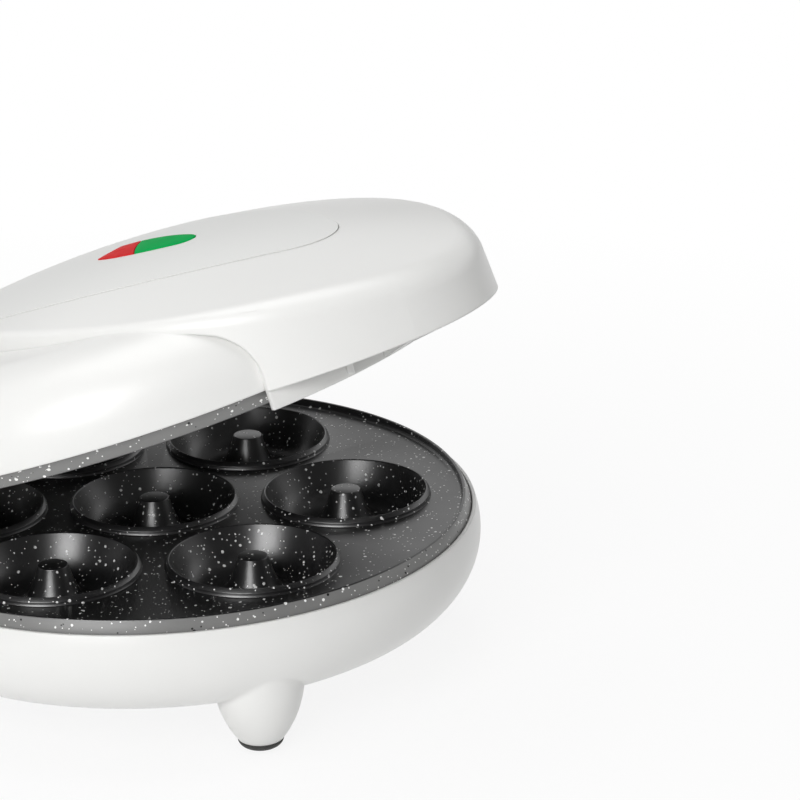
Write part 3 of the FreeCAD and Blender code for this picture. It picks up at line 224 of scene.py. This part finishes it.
def makeGrained(name, light, dark, grain, depth, roughness, metallic=0, stretch=(1, 1, 1)):
    material, tree, shader, place = startMaterial(name)
    drawn = addNode(tree, "ShaderNodeMapping", {"Vector": place, "Scale": stretch}).outputs[0]
    noise = addNoise(tree, drawn, grain, detail=4)
    feed(tree, shader, {
        "Base Color": addTone(tree, noise, dark, light),
        "Metallic": metallic,
        "Roughness": addRange(tree, noise, (0, 1), [roughness * part for part in shineSpread]),
        "Normal": addBump(tree, noise, depth),
    })
    return material


# glass-fibre sleeving: pale yarns crossing in a fine plait
sleeveLook = {"yarn": "#d9d5c8", "gap": "#a59f8e", "pitch": 1.1, "depth": 0.06, "turn": 0.8, "rough": 0.7,
              "waveLength": 6.28}


def makeSleeve(look):
    material, tree, shader, place = startMaterial("glassFibreSleeve")
    yarns = []
    for turn in (look["turn"], -look["turn"]):
        turned = addNode(tree, "ShaderNodeMapping", {"Vector": place, "Rotation": (turn, turn, turn)})
        yarn = addNode(tree, "ShaderNodeTexWave",
                       {"Vector": turned.outputs[0], "Scale": 1000 / look["pitch"] / look["waveLength"]})
        yarns.append(yarn.outputs["Fac"])
    height = addMath(tree, "MAXIMUM", *yarns)
    feed(tree, shader, {
        "Base Color": addTone(tree, height, look["gap"], look["yarn"]),
        "Roughness": look["rough"],
        "Normal": addBump(tree, height, look["depth"]),
    })
    return material


# tinted acrylic, moulded with a finely frosted face: a deep even colour with faint flow lines
acrylicLook = {"flow": 7, "rough": 0.35, "ior": 1.49, "specular": 0.003}


def makeTintedAcrylic(name, look, bright, deep):
    material, tree, shader, place = startMaterial(name)
    flow = addNoise(tree, place, look["flow"], detail=1)
    feed(tree, shader, {
        "Base Color": addTone(tree, flow, deep, bright),
        "Roughness": look["rough"],
        "IOR": look["ior"],
        "Specular IOR Level": look["specular"],
    })
    return material


# soda glass of a neon bulb, clear and slightly warm
bulbLook = {"tint": "#f6e9da", "haze": 3, "mist": (0.02, 0.12), "ior": 1.5, "clear": 0.9}


def makeBulbGlass(look):
    material, tree, shader, place = startMaterial("bulbGlass")
    haze = addNoise(tree, place, look["haze"], detail=1)
    feed(tree, shader, {
        "Base Color": toLinear(look["tint"]),
        "Roughness": addRange(tree, haze, (0, 1), look["mist"]),
        "IOR": look["ior"],
        "Transmission Weight": look["clear"],
    })
    return material


# plain materials: two tones, grain size and depth in mm, and how a drawn metal's grain is stretched
grainedLooks = {
    # moulded rubber: matt black with a dusty bloom
    "rubber": {"name": "mouldedRubber", "light": "#3b3b39", "dark": "#2c2c2b",
               "grain": 0.8, "depth": 0.01, "roughness": 0.62},
    # heater tube: steel gone brown-grey with heat
    "element": {"name": "heatDarkenedSteel", "light": "#6d655d", "dark": "#47413d",
                "grain": 3, "depth": 0.02, "roughness": 0.45, "metallic": 1},
    # rolled aluminised sheet: bright, drawn along one way
    "reflector": {"name": "aluminisedSheet", "light": "#c9cacb", "dark": "#b4b5b7",
                  "grain": 0.7, "depth": 0.004, "roughness": 0.3, "metallic": 1, "stretch": (0.08, 1, 1)},
    # glazed steatite: off-white, slightly waxy
    "thermostat": {"name": "steatite", "light": "#ddd5c3", "dark": "#cfc6b2",
                   "grain": 1.6, "depth": 0.01, "roughness": 0.38},
    # plated strip steel, stamped
    "bright_steel": {"name": "platedStrip", "light": "#c6c7c9", "dark": "#b0b1b4",
                     "grain": 0.6, "depth": 0.003, "roughness": 0.25, "metallic": 1,
                     "stretch": (1, 0.1, 1)},
    # zinc-plated screw steel: grey with a faint blue bloom
    "screws": {"name": "zincPlate", "light": "#b9bcc2", "dark": "#9b9ea5",
               "grain": 1.2, "depth": 0.004, "roughness": 0.32, "metallic": 1},
    # polyamide, natural
    "block": {"name": "naturalPolyamide", "light": "#dedbcf", "dark": "#d3cfc0",
              "grain": 1.4, "depth": 0.006, "roughness": 0.48},
    # drawn aluminium can
    "fuse": {"name": "drawnAluminium", "light": "#c2c3c5", "dark": "#adaeb1",
             "grain": 0.8, "depth": 0.003, "roughness": 0.35, "metallic": 1, "stretch": (0.1, 1, 1)},
}
finishes = {
    "shell": makeGlossAbs(glossAbsLook),
    "panel": makeSatinAbs(satinAbsLook),
    "nonstick": makeFleckedCoat("fleckedNonStick", fleckedCoatLook),
    "nonstickRim": makeFleckedCoat("greyRimFleckedNonStick", rimCoatLook),
    "leads": makeSleeve(sleeveLook),
    "lamp": makeBulbGlass(bulbLook),
    "red_lens": makeTintedAcrylic("redAcrylic", acrylicLook, "#e23a3c", "#d22c2e"),
    "green_lens": makeTintedAcrylic("greenAcrylic", acrylicLook, "#0ab158", "#0aa24f"),
    **{slotName: makeGrained(**look) for slotName, look in grainedLooks.items()},
}
slotOf = {part["node"]: part["material_slot"] for part in frame["record"]["subparts"]}
for name, node in frame["nodes"].items():
    for materialSlot in node.material_slots:
        materialSlot.material = finishes[slotOf[name]]
print("materials set on", len(slotOf), "nodes")


def addObject(name, data):
    made = bpy.data.objects.new(name, data)
    bpy.context.scene.collection.objects.link(made)
    return made


def addPiece(name, mesh, body, slotName, *nodes):
    piece = addObject(name, mesh)
    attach(piece, body)
    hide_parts(*nodes)


# a profile of (radius, height) in mm, turned about an upright axis at each centre
def turnedMesh(name, profile, centres, segments=48):
    work = bmesh.new()
    for centre in centres:
        rings = []
        for radius, z in profile:
            if radius == 0:
                rings.append([work.verts.new((centre[0], centre[1], mm(z)))] * segments)
                continue
            ring = []
            for step in range(segments):
                angle = 2 * math.pi * step / segments
                ring.append(work.verts.new((centre[0] + mm(radius) * math.cos(angle),
                                            centre[1] + mm(radius) * math.sin(angle), mm(z))))
            rings.append(ring)
        for lower, upper in zip(rings, rings[1:]):
            for step in range(segments):
                after = (step + 1) % segments
                corners = [lower[step], lower[after], upper[after], upper[step]]
                work.faces.new(list(dict.fromkeys(corners))).smooth = True
    bmesh.ops.recalc_face_normals(work, faces=work.faces)
    mesh = bpy.data.meshes.new(name)
    work.to_mesh(mesh)
    work.free()
    return mesh


# an empty geometry tree with its own inputs, each a name and a kind of socket
def startTree(name, inputs):
    tree = bpy.data.node_groups.new(name, "GeometryNodeTree")
    tree.interface.new_socket("Geometry", in_out="OUTPUT", socket_type="NodeSocketGeometry")
    for key, kind in {"Geometry": "Geometry", **inputs, "Finish": "Material"}.items():
        tree.interface.new_socket(key, in_out="INPUT", socket_type="NodeSocket" + kind)
    return tree, addNode(tree, "NodeGroupInput").outputs


def joinShapes(tree, *shapes):
    joined = addNode(tree, "GeometryNodeJoinGeometry")
    for shape in shapes:
        tree.links.new(shape, joined.inputs[0])
    return joined.outputs[0]


def cutShape(tree, shape, tools, **more):
    return addNode(tree, "GeometryNodeMeshBoolean", {"Mesh 1": shape, "Mesh 2": tools, **more},
                   operation="DIFFERENCE", solver="EXACT").outputs[0]


def spreadShape(tree, points, shape, **more):
    return addNode(tree, "GeometryNodeInstanceOnPoints",
                   {"Points": points, "Instance": shape, **more}).outputs[0]


def moveShape(tree, shape, offset):
    return addNode(tree, "GeometryNodeTransform", {"Geometry": shape, "Translation": offset}).outputs[0]


def makeReal(tree, shape):
    return addNode(tree, "GeometryNodeRealizeInstances", {"Geometry": shape}).outputs[0]


def endTree(tree, shape, finish):
    dressed = addNode(tree, "GeometryNodeSetMaterial",
                      {"Geometry": makeReal(tree, shape), "Material": finish})
    addNode(tree, "NodeGroupOutput", {"Geometry": dressed.outputs[0]})
    return tree


# the mesh that a tree makes of an object
def solveTree(holder, tree, values):
    modifier = holder.modifiers.new("shape", "NODES")
    modifier.node_group = tree
    for item in tree.interface.items_tree:
        if item.in_out == "INPUT" and item.name in values:
            modifier[item.identifier] = values[item.name]
    solved = holder.evaluated_get(bpy.context.evaluated_depsgraph_get())
    return bpy.data.meshes.new_from_object(solved)


# pan-head screws with a cross recess, one tree for every group of them
screwShape = {"headSides": 40, "headRings": 2, "shankSides": 24, "crown": 0.72, "barReach": 1.1,
              "barDepth": 1.3}
screwSizes = {
    "base_screws": {"Head": 3.4, "Head height": 2.2, "Shank": 1.6, "Length": 18.98, "Recess": 0.9},
    "lid_screws": {"Head": 3.4, "Head height": 2.2, "Shank": 1.6, "Length": 19.58, "Recess": 0.9},
    "strap_screws": {"Head": 2.6, "Head height": 1.6, "Shank": 1.4, "Length": 3.0, "Recess": 0.7},
    "clip_screws": {"Head": 2.6, "Head height": 1.6, "Shank": 1.4, "Length": 3.0, "Recess": 0.7},
    "block_screw": {"Head": 2.6, "Head height": 1.6, "Shank": 1.5, "Length": 11.38, "Recess": 0.7},
}
screwSeats = {"base": -26.0, "lid": 26.9, "strap": -19.4, "clip": 19.7, "block": -20.2}
bossSpots = [(0, 34.641), (-30.0, -17.3205), (30.0, -17.3205)]
strapSpots = [(0, -15.5), (0, 15.5)]
blockSpots = [(0, 63.0)]


def makeScrewTree(look):
    sizes = dict.fromkeys(("Head", "Head height", "Shank", "Length", "Recess"), "Float")
    tree, given = startTree("panHeadScrew", {**sizes, "Turn": "Rotation"})
    head = addNode(tree, "GeometryNodeMeshCone",
                   {"Vertices": look["headSides"], "Side Segments": look["headRings"],
                    "Radius Top": addMath(tree, "MULTIPLY", given["Head"], look["crown"]),
                    "Radius Bottom": given["Head"], "Depth": given["Head height"]}).outputs["Mesh"]
    wide = addMath(tree, "MULTIPLY", given["Head"], look["barReach"])
    deep = addMath(tree, "MULTIPLY", given["Head height"], look["barDepth"])
    rise = addNode(tree, "ShaderNodeCombineXYZ", {2: given["Head height"]}).outputs[0]
    bars = []
    for x, y in ((wide, given["Recess"]), (given["Recess"], wide)):
        shape = addNode(tree, "ShaderNodeCombineXYZ", {0: x, 1: y, 2: deep}).outputs[0]
        bar = addNode(tree, "GeometryNodeMeshCube", {"Size": shape}).outputs[0]
        bars.append(moveShape(tree, bar, rise))
    recessed = cutShape(tree, head, joinShapes(tree, *bars), **{"Self Intersection": True})
    shank = addNode(tree, "GeometryNodeMeshCone",
                    {"Vertices": look["shankSides"], "Radius Top": given["Shank"],
                     "Radius Bottom": given["Shank"], "Depth": given["Length"]}).outputs["Mesh"]
    drop = addNode(tree, "ShaderNodeCombineXYZ", {2: addMath(tree, "MULTIPLY", given["Length"], -1)})
    whole = joinShapes(tree, recessed, moveShape(tree, shank, drop.outputs[0]))
    placed = spreadShape(tree, given["Geometry"], whole, Rotation=given["Turn"])
    return endTree(tree, placed, given["Finish"])


screwTree = makeScrewTree(screwShape)


def setScrews(nodeName, body, bodyFrame, spots, seat, headsUp):
    points = bpy.data.meshes.new(nodeName + "Places")
    points.from_pydata([bodyFrame @ Vector((mm(x), mm(y), mm(seat))) for x, y in spots], [], [])
    holder = addObject(nodeName + "Holder", points)
    turn = bodyFrame.to_3x3() @ (Matrix.Identity(3) if headsUp else Matrix.Rotation(math.pi, 3, "X"))
    sizes = {key: mm(value) for key, value in screwSizes[nodeName].items()}
    mesh = solveTree(holder, screwTree, {**sizes, "Turn": turn.to_euler(), "Finish": finishes["screws"]})
    bpy.data.objects.remove(holder)
    addPiece(nodeName + "Set", mesh, body, "screws", nodeName)


setScrews("base_screws", "base", baseFrame, bossSpots, screwSeats["base"], headsUp=False)
setScrews("strap_screws", "base", baseFrame, strapSpots, screwSeats["strap"], headsUp=False)
setScrews("block_screw", "base", baseFrame, blockSpots, screwSeats["block"], headsUp=True)
setScrews("lid_screws", "lid", lidFrame, bossSpots, screwSeats["lid"], headsUp=True)
setScrews("clip_screws", "lid", lidFrame, strapSpots, screwSeats["clip"], headsUp=True)
print("screws set")

# baking plates: ring moulds in a rimmed disc, depths measured down from the parting plane
# the pulls steer the curves between one stretch of a profile and the next
plateLook = {
    "count": 6, "pitch": 60.0, "mouldSides": 84, "discSides": 192, "bossSides": 32, "sharp": 38,
    "post": 4.6, "postEdge": 0.3, "postPull": (1.9, 6), "flankSteps": 14,
    "trough": 14.0, "depth": 12.3, "troughPull": (6, 4.5), "troughSteps": 12,
    "mouth": 25.1, "lean": 25, "leanTo": 5.5, "leanPull": 4.2, "crest": 0.4, "crestEnd": (0.1, -0.05),
    "beadLean": 0.95, "beadFall": 1.2, "beadEdge": 0.35, "beadCut": 0.7, "beadDraft": 0.02,
    "beadSteps": 6, "beadRoot": ((0.06, 0.35), (0.3, 0)),
    "wall": 2.2, "backStart": 1, "backPull": (-9, 21.5), "backFlat": 15.2, "backSteps": 8,
    "floor": 2.4, "floorRound": 1, "hole": 26.4, "drill": 30,
    "reach": 99.2, "lip": 2.7, "lipEdge": 0.35, "rimSlope": 1.9, "rimDrop": 3.6, "rimStart": 0.2,
    "shoulder": ((-0.12, 0), (0.1, -0.06), (0.22, -0.24)), "skirt": 9.0,
    "boss": 4.5, "bossTop": 1.1, "bossDepth": 18.0, "shutGap": 0.3,
}


# the points inside a cubic curve, without its ends
def bendPoints(start, startPull, endPull, end, steps):
    points = []
    for step in range(1, steps):
        t = step / steps
        weights = ((1 - t) ** 3, 3 * t * (1 - t) ** 2, 3 * t * t * (1 - t), t ** 3)
        corners = (start, startPull, endPull, end)
        points.append(tuple(sum(w * c[axis] for w, c in zip(weights, corners)) for axis in (0, 1)))
    return points


# one ring mould: a post that flares into a trough, a leaning wall and a thin crest with a sloped outside
def mouldProfile(look):
    edge, crest, mouth, floor = look["postEdge"], look["crest"], look["mouth"], look["floor"]
    post = [(look["post"] - edge + edge * math.sin(a), edge * math.cos(a) - edge) for a in quarterTurn]
    postOut, postDown = look["postPull"]
    troughIn, troughOut = look["troughPull"]
    low = (look["trough"], -look["depth"])
    flank = bendPoints(post[-1], (look["post"] + postOut, -edge - postDown),
                       (look["trough"] - troughIn, -look["depth"]), low, look["flankSteps"]) + [low]
    lean, pull = math.radians(look["lean"]), look["leanPull"]
    foot = (mouth - (look["leanTo"] - crest) * math.tan(lean), -look["leanTo"])
    trough = bendPoints(low, (look["trough"] + troughOut, -look["depth"]),
                        (foot[0] - pull * math.sin(lean), foot[1] - pull * math.cos(lean)),
                        foot, look["troughSteps"])
    rim = [(mouth + crest - crest * math.cos(a), crest * math.sin(a) - crest) for a in quarterTurn]
    crestOut, crestDown = look["crestEnd"]
    outer, fall, turn = mouth + crest + look["beadLean"], look["beadFall"], look["beadEdge"]
    corner, cut = (outer, -fall), turn * look["beadCut"]
    before, after = (outer - cut, cut - fall), (outer + look["beadDraft"], -fall - turn)
    bead = [before] + bendPoints(before, corner, corner, after, look["beadSteps"]) + [after]
    root = [(outer + out, up - floor) for out, up in look["beadRoot"]]
    under = look["depth"] + look["wall"]
    backTop, backEnd = (mouth + look["wall"], -floor - look["backStart"]), (look["backFlat"], -under)
    backDown, backIn = look["backPull"]
    back = bendPoints(backTop, (mouth + look["wall"], backDown), (backIn, -under), backEnd,
                      look["backSteps"])
    return ([(0, 0)] + post + flank + trough + [foot] + rim + [(mouth + crest + crestOut, crestDown)]
            + bead + root + [backTop] + back + [backEnd, (0, -under)])


def discProfile(look):
    reach, floor, edge, turn = look["reach"], look["floor"], look["lipEdge"], look["floorRound"]
    inner, top, inside = reach - look["lip"], reach - look["rimSlope"], reach - look["wall"]
    under = floor + look["wall"]
    fillet = [(inner - turn + turn * math.sin(a), turn - turn * math.cos(a) - floor) for a in quarterTurn]
    crown = [(inner + edge - edge * math.cos(a), edge * math.sin(a) - edge) for a in quarterTurn]
    shoulder = [(top + out, up) for out, up in look["shoulder"]]
    return ([(0, -floor)] + fillet + crown + shoulder
            + [(reach, -look["rimDrop"]), (reach, -look["skirt"]),
               (inside, -look["skirt"]), (inside, -under), (0, -under)])


def bossProfile(look):
    top, tip = -look["floor"] - look["bossTop"], -look["bossDepth"]
    return [(0, top), (look["boss"], top), (look["boss"], tip), (0, tip)]


# moulds on a ring of points and one in the middle, each in a hole drilled through the disc
def makeMouldTree(look):
    tree, given = startTree("ringMoulds", {"Count": "Int", "Pitch": "Float", "Hole": "Float",
                                           "Mould": "Object"})
    ring = addNode(tree, "GeometryNodeMeshCircle", {"Vertices": given["Count"], "Radius": given["Pitch"]})
    middle = addNode(tree, "GeometryNodeMeshLine", {"Count": 1})
    spots = joinShapes(tree, ring.outputs[0], middle.outputs[0])
    drill = addNode(tree, "GeometryNodeMeshCylinder",
                    {"Vertices": look["mouldSides"], "Depth": mm(look["drill"]), "Radius": given["Hole"]})
    drills = makeReal(tree, spreadShape(tree, spots, drill.outputs["Mesh"]))
    punched = cutShape(tree, given["Geometry"], drills)
    mould = addNode(tree, "GeometryNodeObjectInfo", {"Object": given["Mould"]})
    moulds = spreadShape(tree, spots, mould.outputs["Geometry"])
    return endTree(tree, joinShapes(tree, punched, moulds), given["Finish"])


def makePlates(look):
    mouldMesh = turnedMesh("mould", mouldProfile(look), [(0, 0)], look["mouldSides"])
    discMesh = turnedMesh("disc", discProfile(look), [(0, 0)], look["discSides"])
    mould, disc = addObject("mouldHolder", mouldMesh), addObject("discHolder", discMesh)
    cast = solveTree(disc, makeMouldTree(look), {
        "Count": look["count"], "Pitch": mm(look["pitch"]), "Hole": mm(look["hole"]), "Mould": mould,
        "Finish": finishes["nonstick"]})
    for holder in (mould, disc):
        bpy.data.objects.remove(holder)
    bossCentres = [(mm(x), mm(y)) for x, y in bossSpots]
    bosses = turnedMesh("bosses", bossProfile(look), bossCentres, look["bossSides"])
    rimCoatFrom = mm(look["reach"] - look["rimSlope"] + look["rimStart"])
    upturned = Matrix.Translation((0, 0, mm(look["shutGap"]))) @ Matrix.Scale(-1, 4, (0, 0, 1))
    for nodeName, body, place in (("lower_plate", "base", baseFrame),
                                  ("upper_plate", "lid", lidFrame @ upturned)):
        work = bmesh.new()
        work.from_mesh(cast)
        work.from_mesh(bosses)
        for face in work.faces:
            # faces beyond this reach take the lighter grey rim coat
            face.material_index = int(face.calc_center_median().xy.length > rimCoatFrom)
        work.transform(place)
        if place.determinant() < 0:
            bmesh.ops.reverse_faces(work, faces=work.faces)
        mesh = bpy.data.meshes.new(nodeName + "Cast")
        work.to_mesh(mesh)
        work.free()
        mesh.set_sharp_from_angle(angle=math.radians(look["sharp"]))
        mesh.materials.append(finishes["nonstick"])
        mesh.materials.append(finishes["nonstickRim"])
        addPiece(nodeName + "Cast", mesh, body, "nonstick", nodeName)


makePlates(plateLook)
print("plates set")

# lenses: a copy of each solid whose sharp rims are eased, as a moulding tool leaves them
lensLook = {"ease": 0.35, "easeSteps": 4, "weld": 0.004, "flat": 0.5, "rim": 40}


def easedCopy(nodeName, look):
    mesh = frame["nodes"][nodeName].data.copy()
    work = bmesh.new()
    work.from_mesh(mesh)
    bmesh.ops.remove_doubles(work, verts=work.verts, dist=mm(look["weld"]))
    bmesh.ops.dissolve_limit(work, angle_limit=math.radians(look["flat"]), verts=work.verts,
                             edges=work.edges)
    sharp = math.radians(look["rim"])
    rims = [e for e in work.edges if len(e.link_faces) == 2 and e.calc_face_angle(0) > sharp]
    bmesh.ops.bevel(work, geom=rims, offset=mm(look["ease"]), segments=look["easeSteps"], profile=0.5,
                    affect="EDGES", clamp_overlap=True)
    bmesh.ops.triangulate(work, faces=work.faces)
    for face in work.faces:
        face.smooth = True
    work.to_mesh(mesh)
    work.free()
    mesh.materials.clear()
    mesh.materials.append(finishes[nodeName])
    return mesh


for nodeName in ("red_lens", "green_lens"):
    addPiece(nodeName + "Cap", easedCopy(nodeName, lensLook), "lid", nodeName, nodeName)
print("lenses set")

# rubber feet: a turned boot that hugs the tip of the leg, domed down to a small flat sole, with its stem
# pressed up into the leg
footLook = {"reach": 85.0, "aside": 39.2, "brim": 6.95, "height": 3.0, "flat": 2.4, "stem": 2.0,
            "stemTop": 7.18, "domeStep": 10}


def makeFeet(look):
    across = mm(look["reach"]) * math.sin(math.radians(look["aside"]))
    along = mm(look["reach"]) * math.cos(math.radians(look["aside"]))
    dome = look["brim"] - look["flat"]
    sole = [(look["flat"] + dome * math.sin(a), look["height"] * (1 - math.cos(a)))
            for a in (math.radians(d) for d in range(0, 91, look["domeStep"]))]
    stem = [(look["stem"], look["height"]), (look["stem"], look["stemTop"]), (0, look["stemTop"])]
    centres = [(sx * across, sy * along) for sx in (-1, 1) for sy in (-1, 1)]
    mesh = turnedMesh("footButtons", [(0, 0)] + sole + stem, centres)
    mesh.materials.append(finishes["rubber"])
    addPiece("footButtons", mesh, "base", "rubber", "foot_pads")


makeFeet(footLook)
print("feet set")

# the photograph's camera, fitted to the plate
cameraLook = {"lens": 172.08, "sensor": 36, "place": (-0.95214, -0.58417, 0.48770),
              "right": (0.45384541, -0.89070889, -0.02572953), "up": (0.31727269, 0.13454381, 0.93874171),
              "back": (-0.83268384, -0.4342069, 0.34365969)}


def setCamera(look):
    camera = addObject("photoCamera", bpy.data.cameras.new("photoCamera"))
    camera.data.lens = look["lens"]
    camera.data.sensor_width = look["sensor"]
    columns = Matrix((look["right"], look["up"], look["back"])).transposed()
    camera.matrix_world = Matrix.Translation(look["place"]) @ columns.to_4x4()
    bpy.context.scene.camera = camera


# soft boxes: where each stands, how large it is and how strong, all looking at the plates
softBoxes = {
    "keyBox": {"place": (-1.35, -0.2, 0.77), "width": 0.76, "height": 0.95, "watts": 12.9},
    "topBox": {"place": (0.1, 0.2, 2.2), "width": 1.6, "height": 1.6, "watts": 19.5},
}
lightTarget = Vector((0, 0, 0.07))


def setLights(boxes):
    for name, box in boxes.items():
        lamp = bpy.data.lights.new(name, "AREA")
        lamp.shape = "RECTANGLE"
        lamp.size = box["width"]
        lamp.size_y = box["height"]
        lamp.energy = box["watts"]
        holder = addObject(name, lamp)
        holder.location = box["place"]
        holder.rotation_euler = (lightTarget - holder.location).to_track_quat("-Z", "Y").to_euler()


# 1 for rays that the eye follows: straight from the camera, mirrored or through glass
def seenDirectly(tree):
    path = addNode(tree, "ShaderNodeLightPath").outputs
    either = addMath(tree, "MAXIMUM", path["Is Camera Ray"], path["Is Glossy Ray"])
    return addMath(tree, "MAXIMUM", either, path["Is Transmission Ray"])


def mixShaders(tree, factor, first, second):
    return addNode(tree, "ShaderNodeMixShader",
                   {0: factor, 1: first.outputs[0], 2: second.outputs[0]})


# the room is white to the eye; in reflections a white sweep stands behind the object, brightest at mid
# height, under a dimmer ceiling and with the dim of the room in front
roomLook = {"glow": 0.265, "behind": (0.887, 0.462, 0), "turnSpan": (-0.3, 0.3), "front": 0.1,
            "riseSpan": (0.06, 0.28), "horizon": 0.3, "fallSpan": (0.4, 0.6), "ceiling": 0.2}


def setRoom(look):
    world = bpy.data.worlds.new("paleRoom")
    bpy.context.scene.world = world
    world.use_nodes = True
    tree = world.node_tree
    tree.nodes.clear()
    way = addNode(tree, "ShaderNodeTexCoord").outputs["Generated"]
    height = addNode(tree, "ShaderNodeSeparateXYZ", {0: way}).outputs[2]
    rise = addRange(tree, height, look["riseSpan"], (look["horizon"], 1))
    fall = addRange(tree, height, look["fallSpan"], (1, look["ceiling"]))
    behind = addVector(tree, "DOT_PRODUCT", {0: way, 1: look["behind"]}, "Value")
    dim = addRange(tree, behind, look["turnSpan"], (look["front"], 1))
    mirrored = addMath(tree, "MULTIPLY", addMath(tree, "MULTIPLY", rise, fall), dim)
    straight = addNode(tree, "ShaderNodeLightPath").outputs["Is Camera Ray"]
    level = addMath(tree, "MAXIMUM", mirrored, straight)
    glow = addNode(tree, "ShaderNodeBackground", {"Color": pureWhite, "Strength": look["glow"]})
    white = addNode(tree, "ShaderNodeBackground", {"Color": pureWhite, "Strength": level})
    seen = mixShaders(tree, seenDirectly(tree), glow, white)
    addNode(tree, "ShaderNodeOutputWorld", {"Surface": seen.outputs[0]})


# white far off, and near the object pale enough to hold its shadow; nothing of it shows from underneath
floorLook = {"tone": "#f4f4f4", "reach": 6.0, "fadeSpan": (0.15, 0.45), "nearLift": 0.88}


def setFloor(look):
    half = look["reach"] / 2
    mesh = bpy.data.meshes.new("floor")
    corners = [(-half, -half, 0), (half, -half, 0), (half, half, 0), (-half, half, 0)]
    mesh.from_pydata(corners, [], [(0, 1, 2, 3)])
    floor = addObject("floor", mesh)
    material = bpy.data.materials.new("paleFloor")
    material.use_nodes = True
    tree = material.node_tree
    tree.nodes.clear()
    matt = addNode(tree, "ShaderNodeBsdfDiffuse", {"Color": toLinear(look["tone"])})
    lit = addNode(tree, "ShaderNodeEmission", {"Color": pureWhite, "Strength": 1})
    place = addNode(tree, "ShaderNodeTexCoord").outputs["Object"]
    away = addVector(tree, "LENGTH", {0: place}, "Value")
    fade = addRange(tree, away, look["fadeSpan"], (look["nearLift"], 1))
    both = mixShaders(tree, addMath(tree, "MULTIPLY", seenDirectly(tree), fade), matt, lit)
    under = addNode(tree, "ShaderNodeNewGeometry").outputs["Backfacing"]
    oneSided = mixShaders(tree, under, both, addNode(tree, "ShaderNodeBsdfTransparent"))
    addNode(tree, "ShaderNodeOutputMaterial", {"Surface": oneSided.outputs[0]})
    mesh.materials.append(material)


setCamera(cameraLook)
setLights(softBoxes)
setRoom(roomLook)
setFloor(floorLook)
bpy.context.scene.view_settings.view_transform = "Standard"
print("camera, lights and room set")
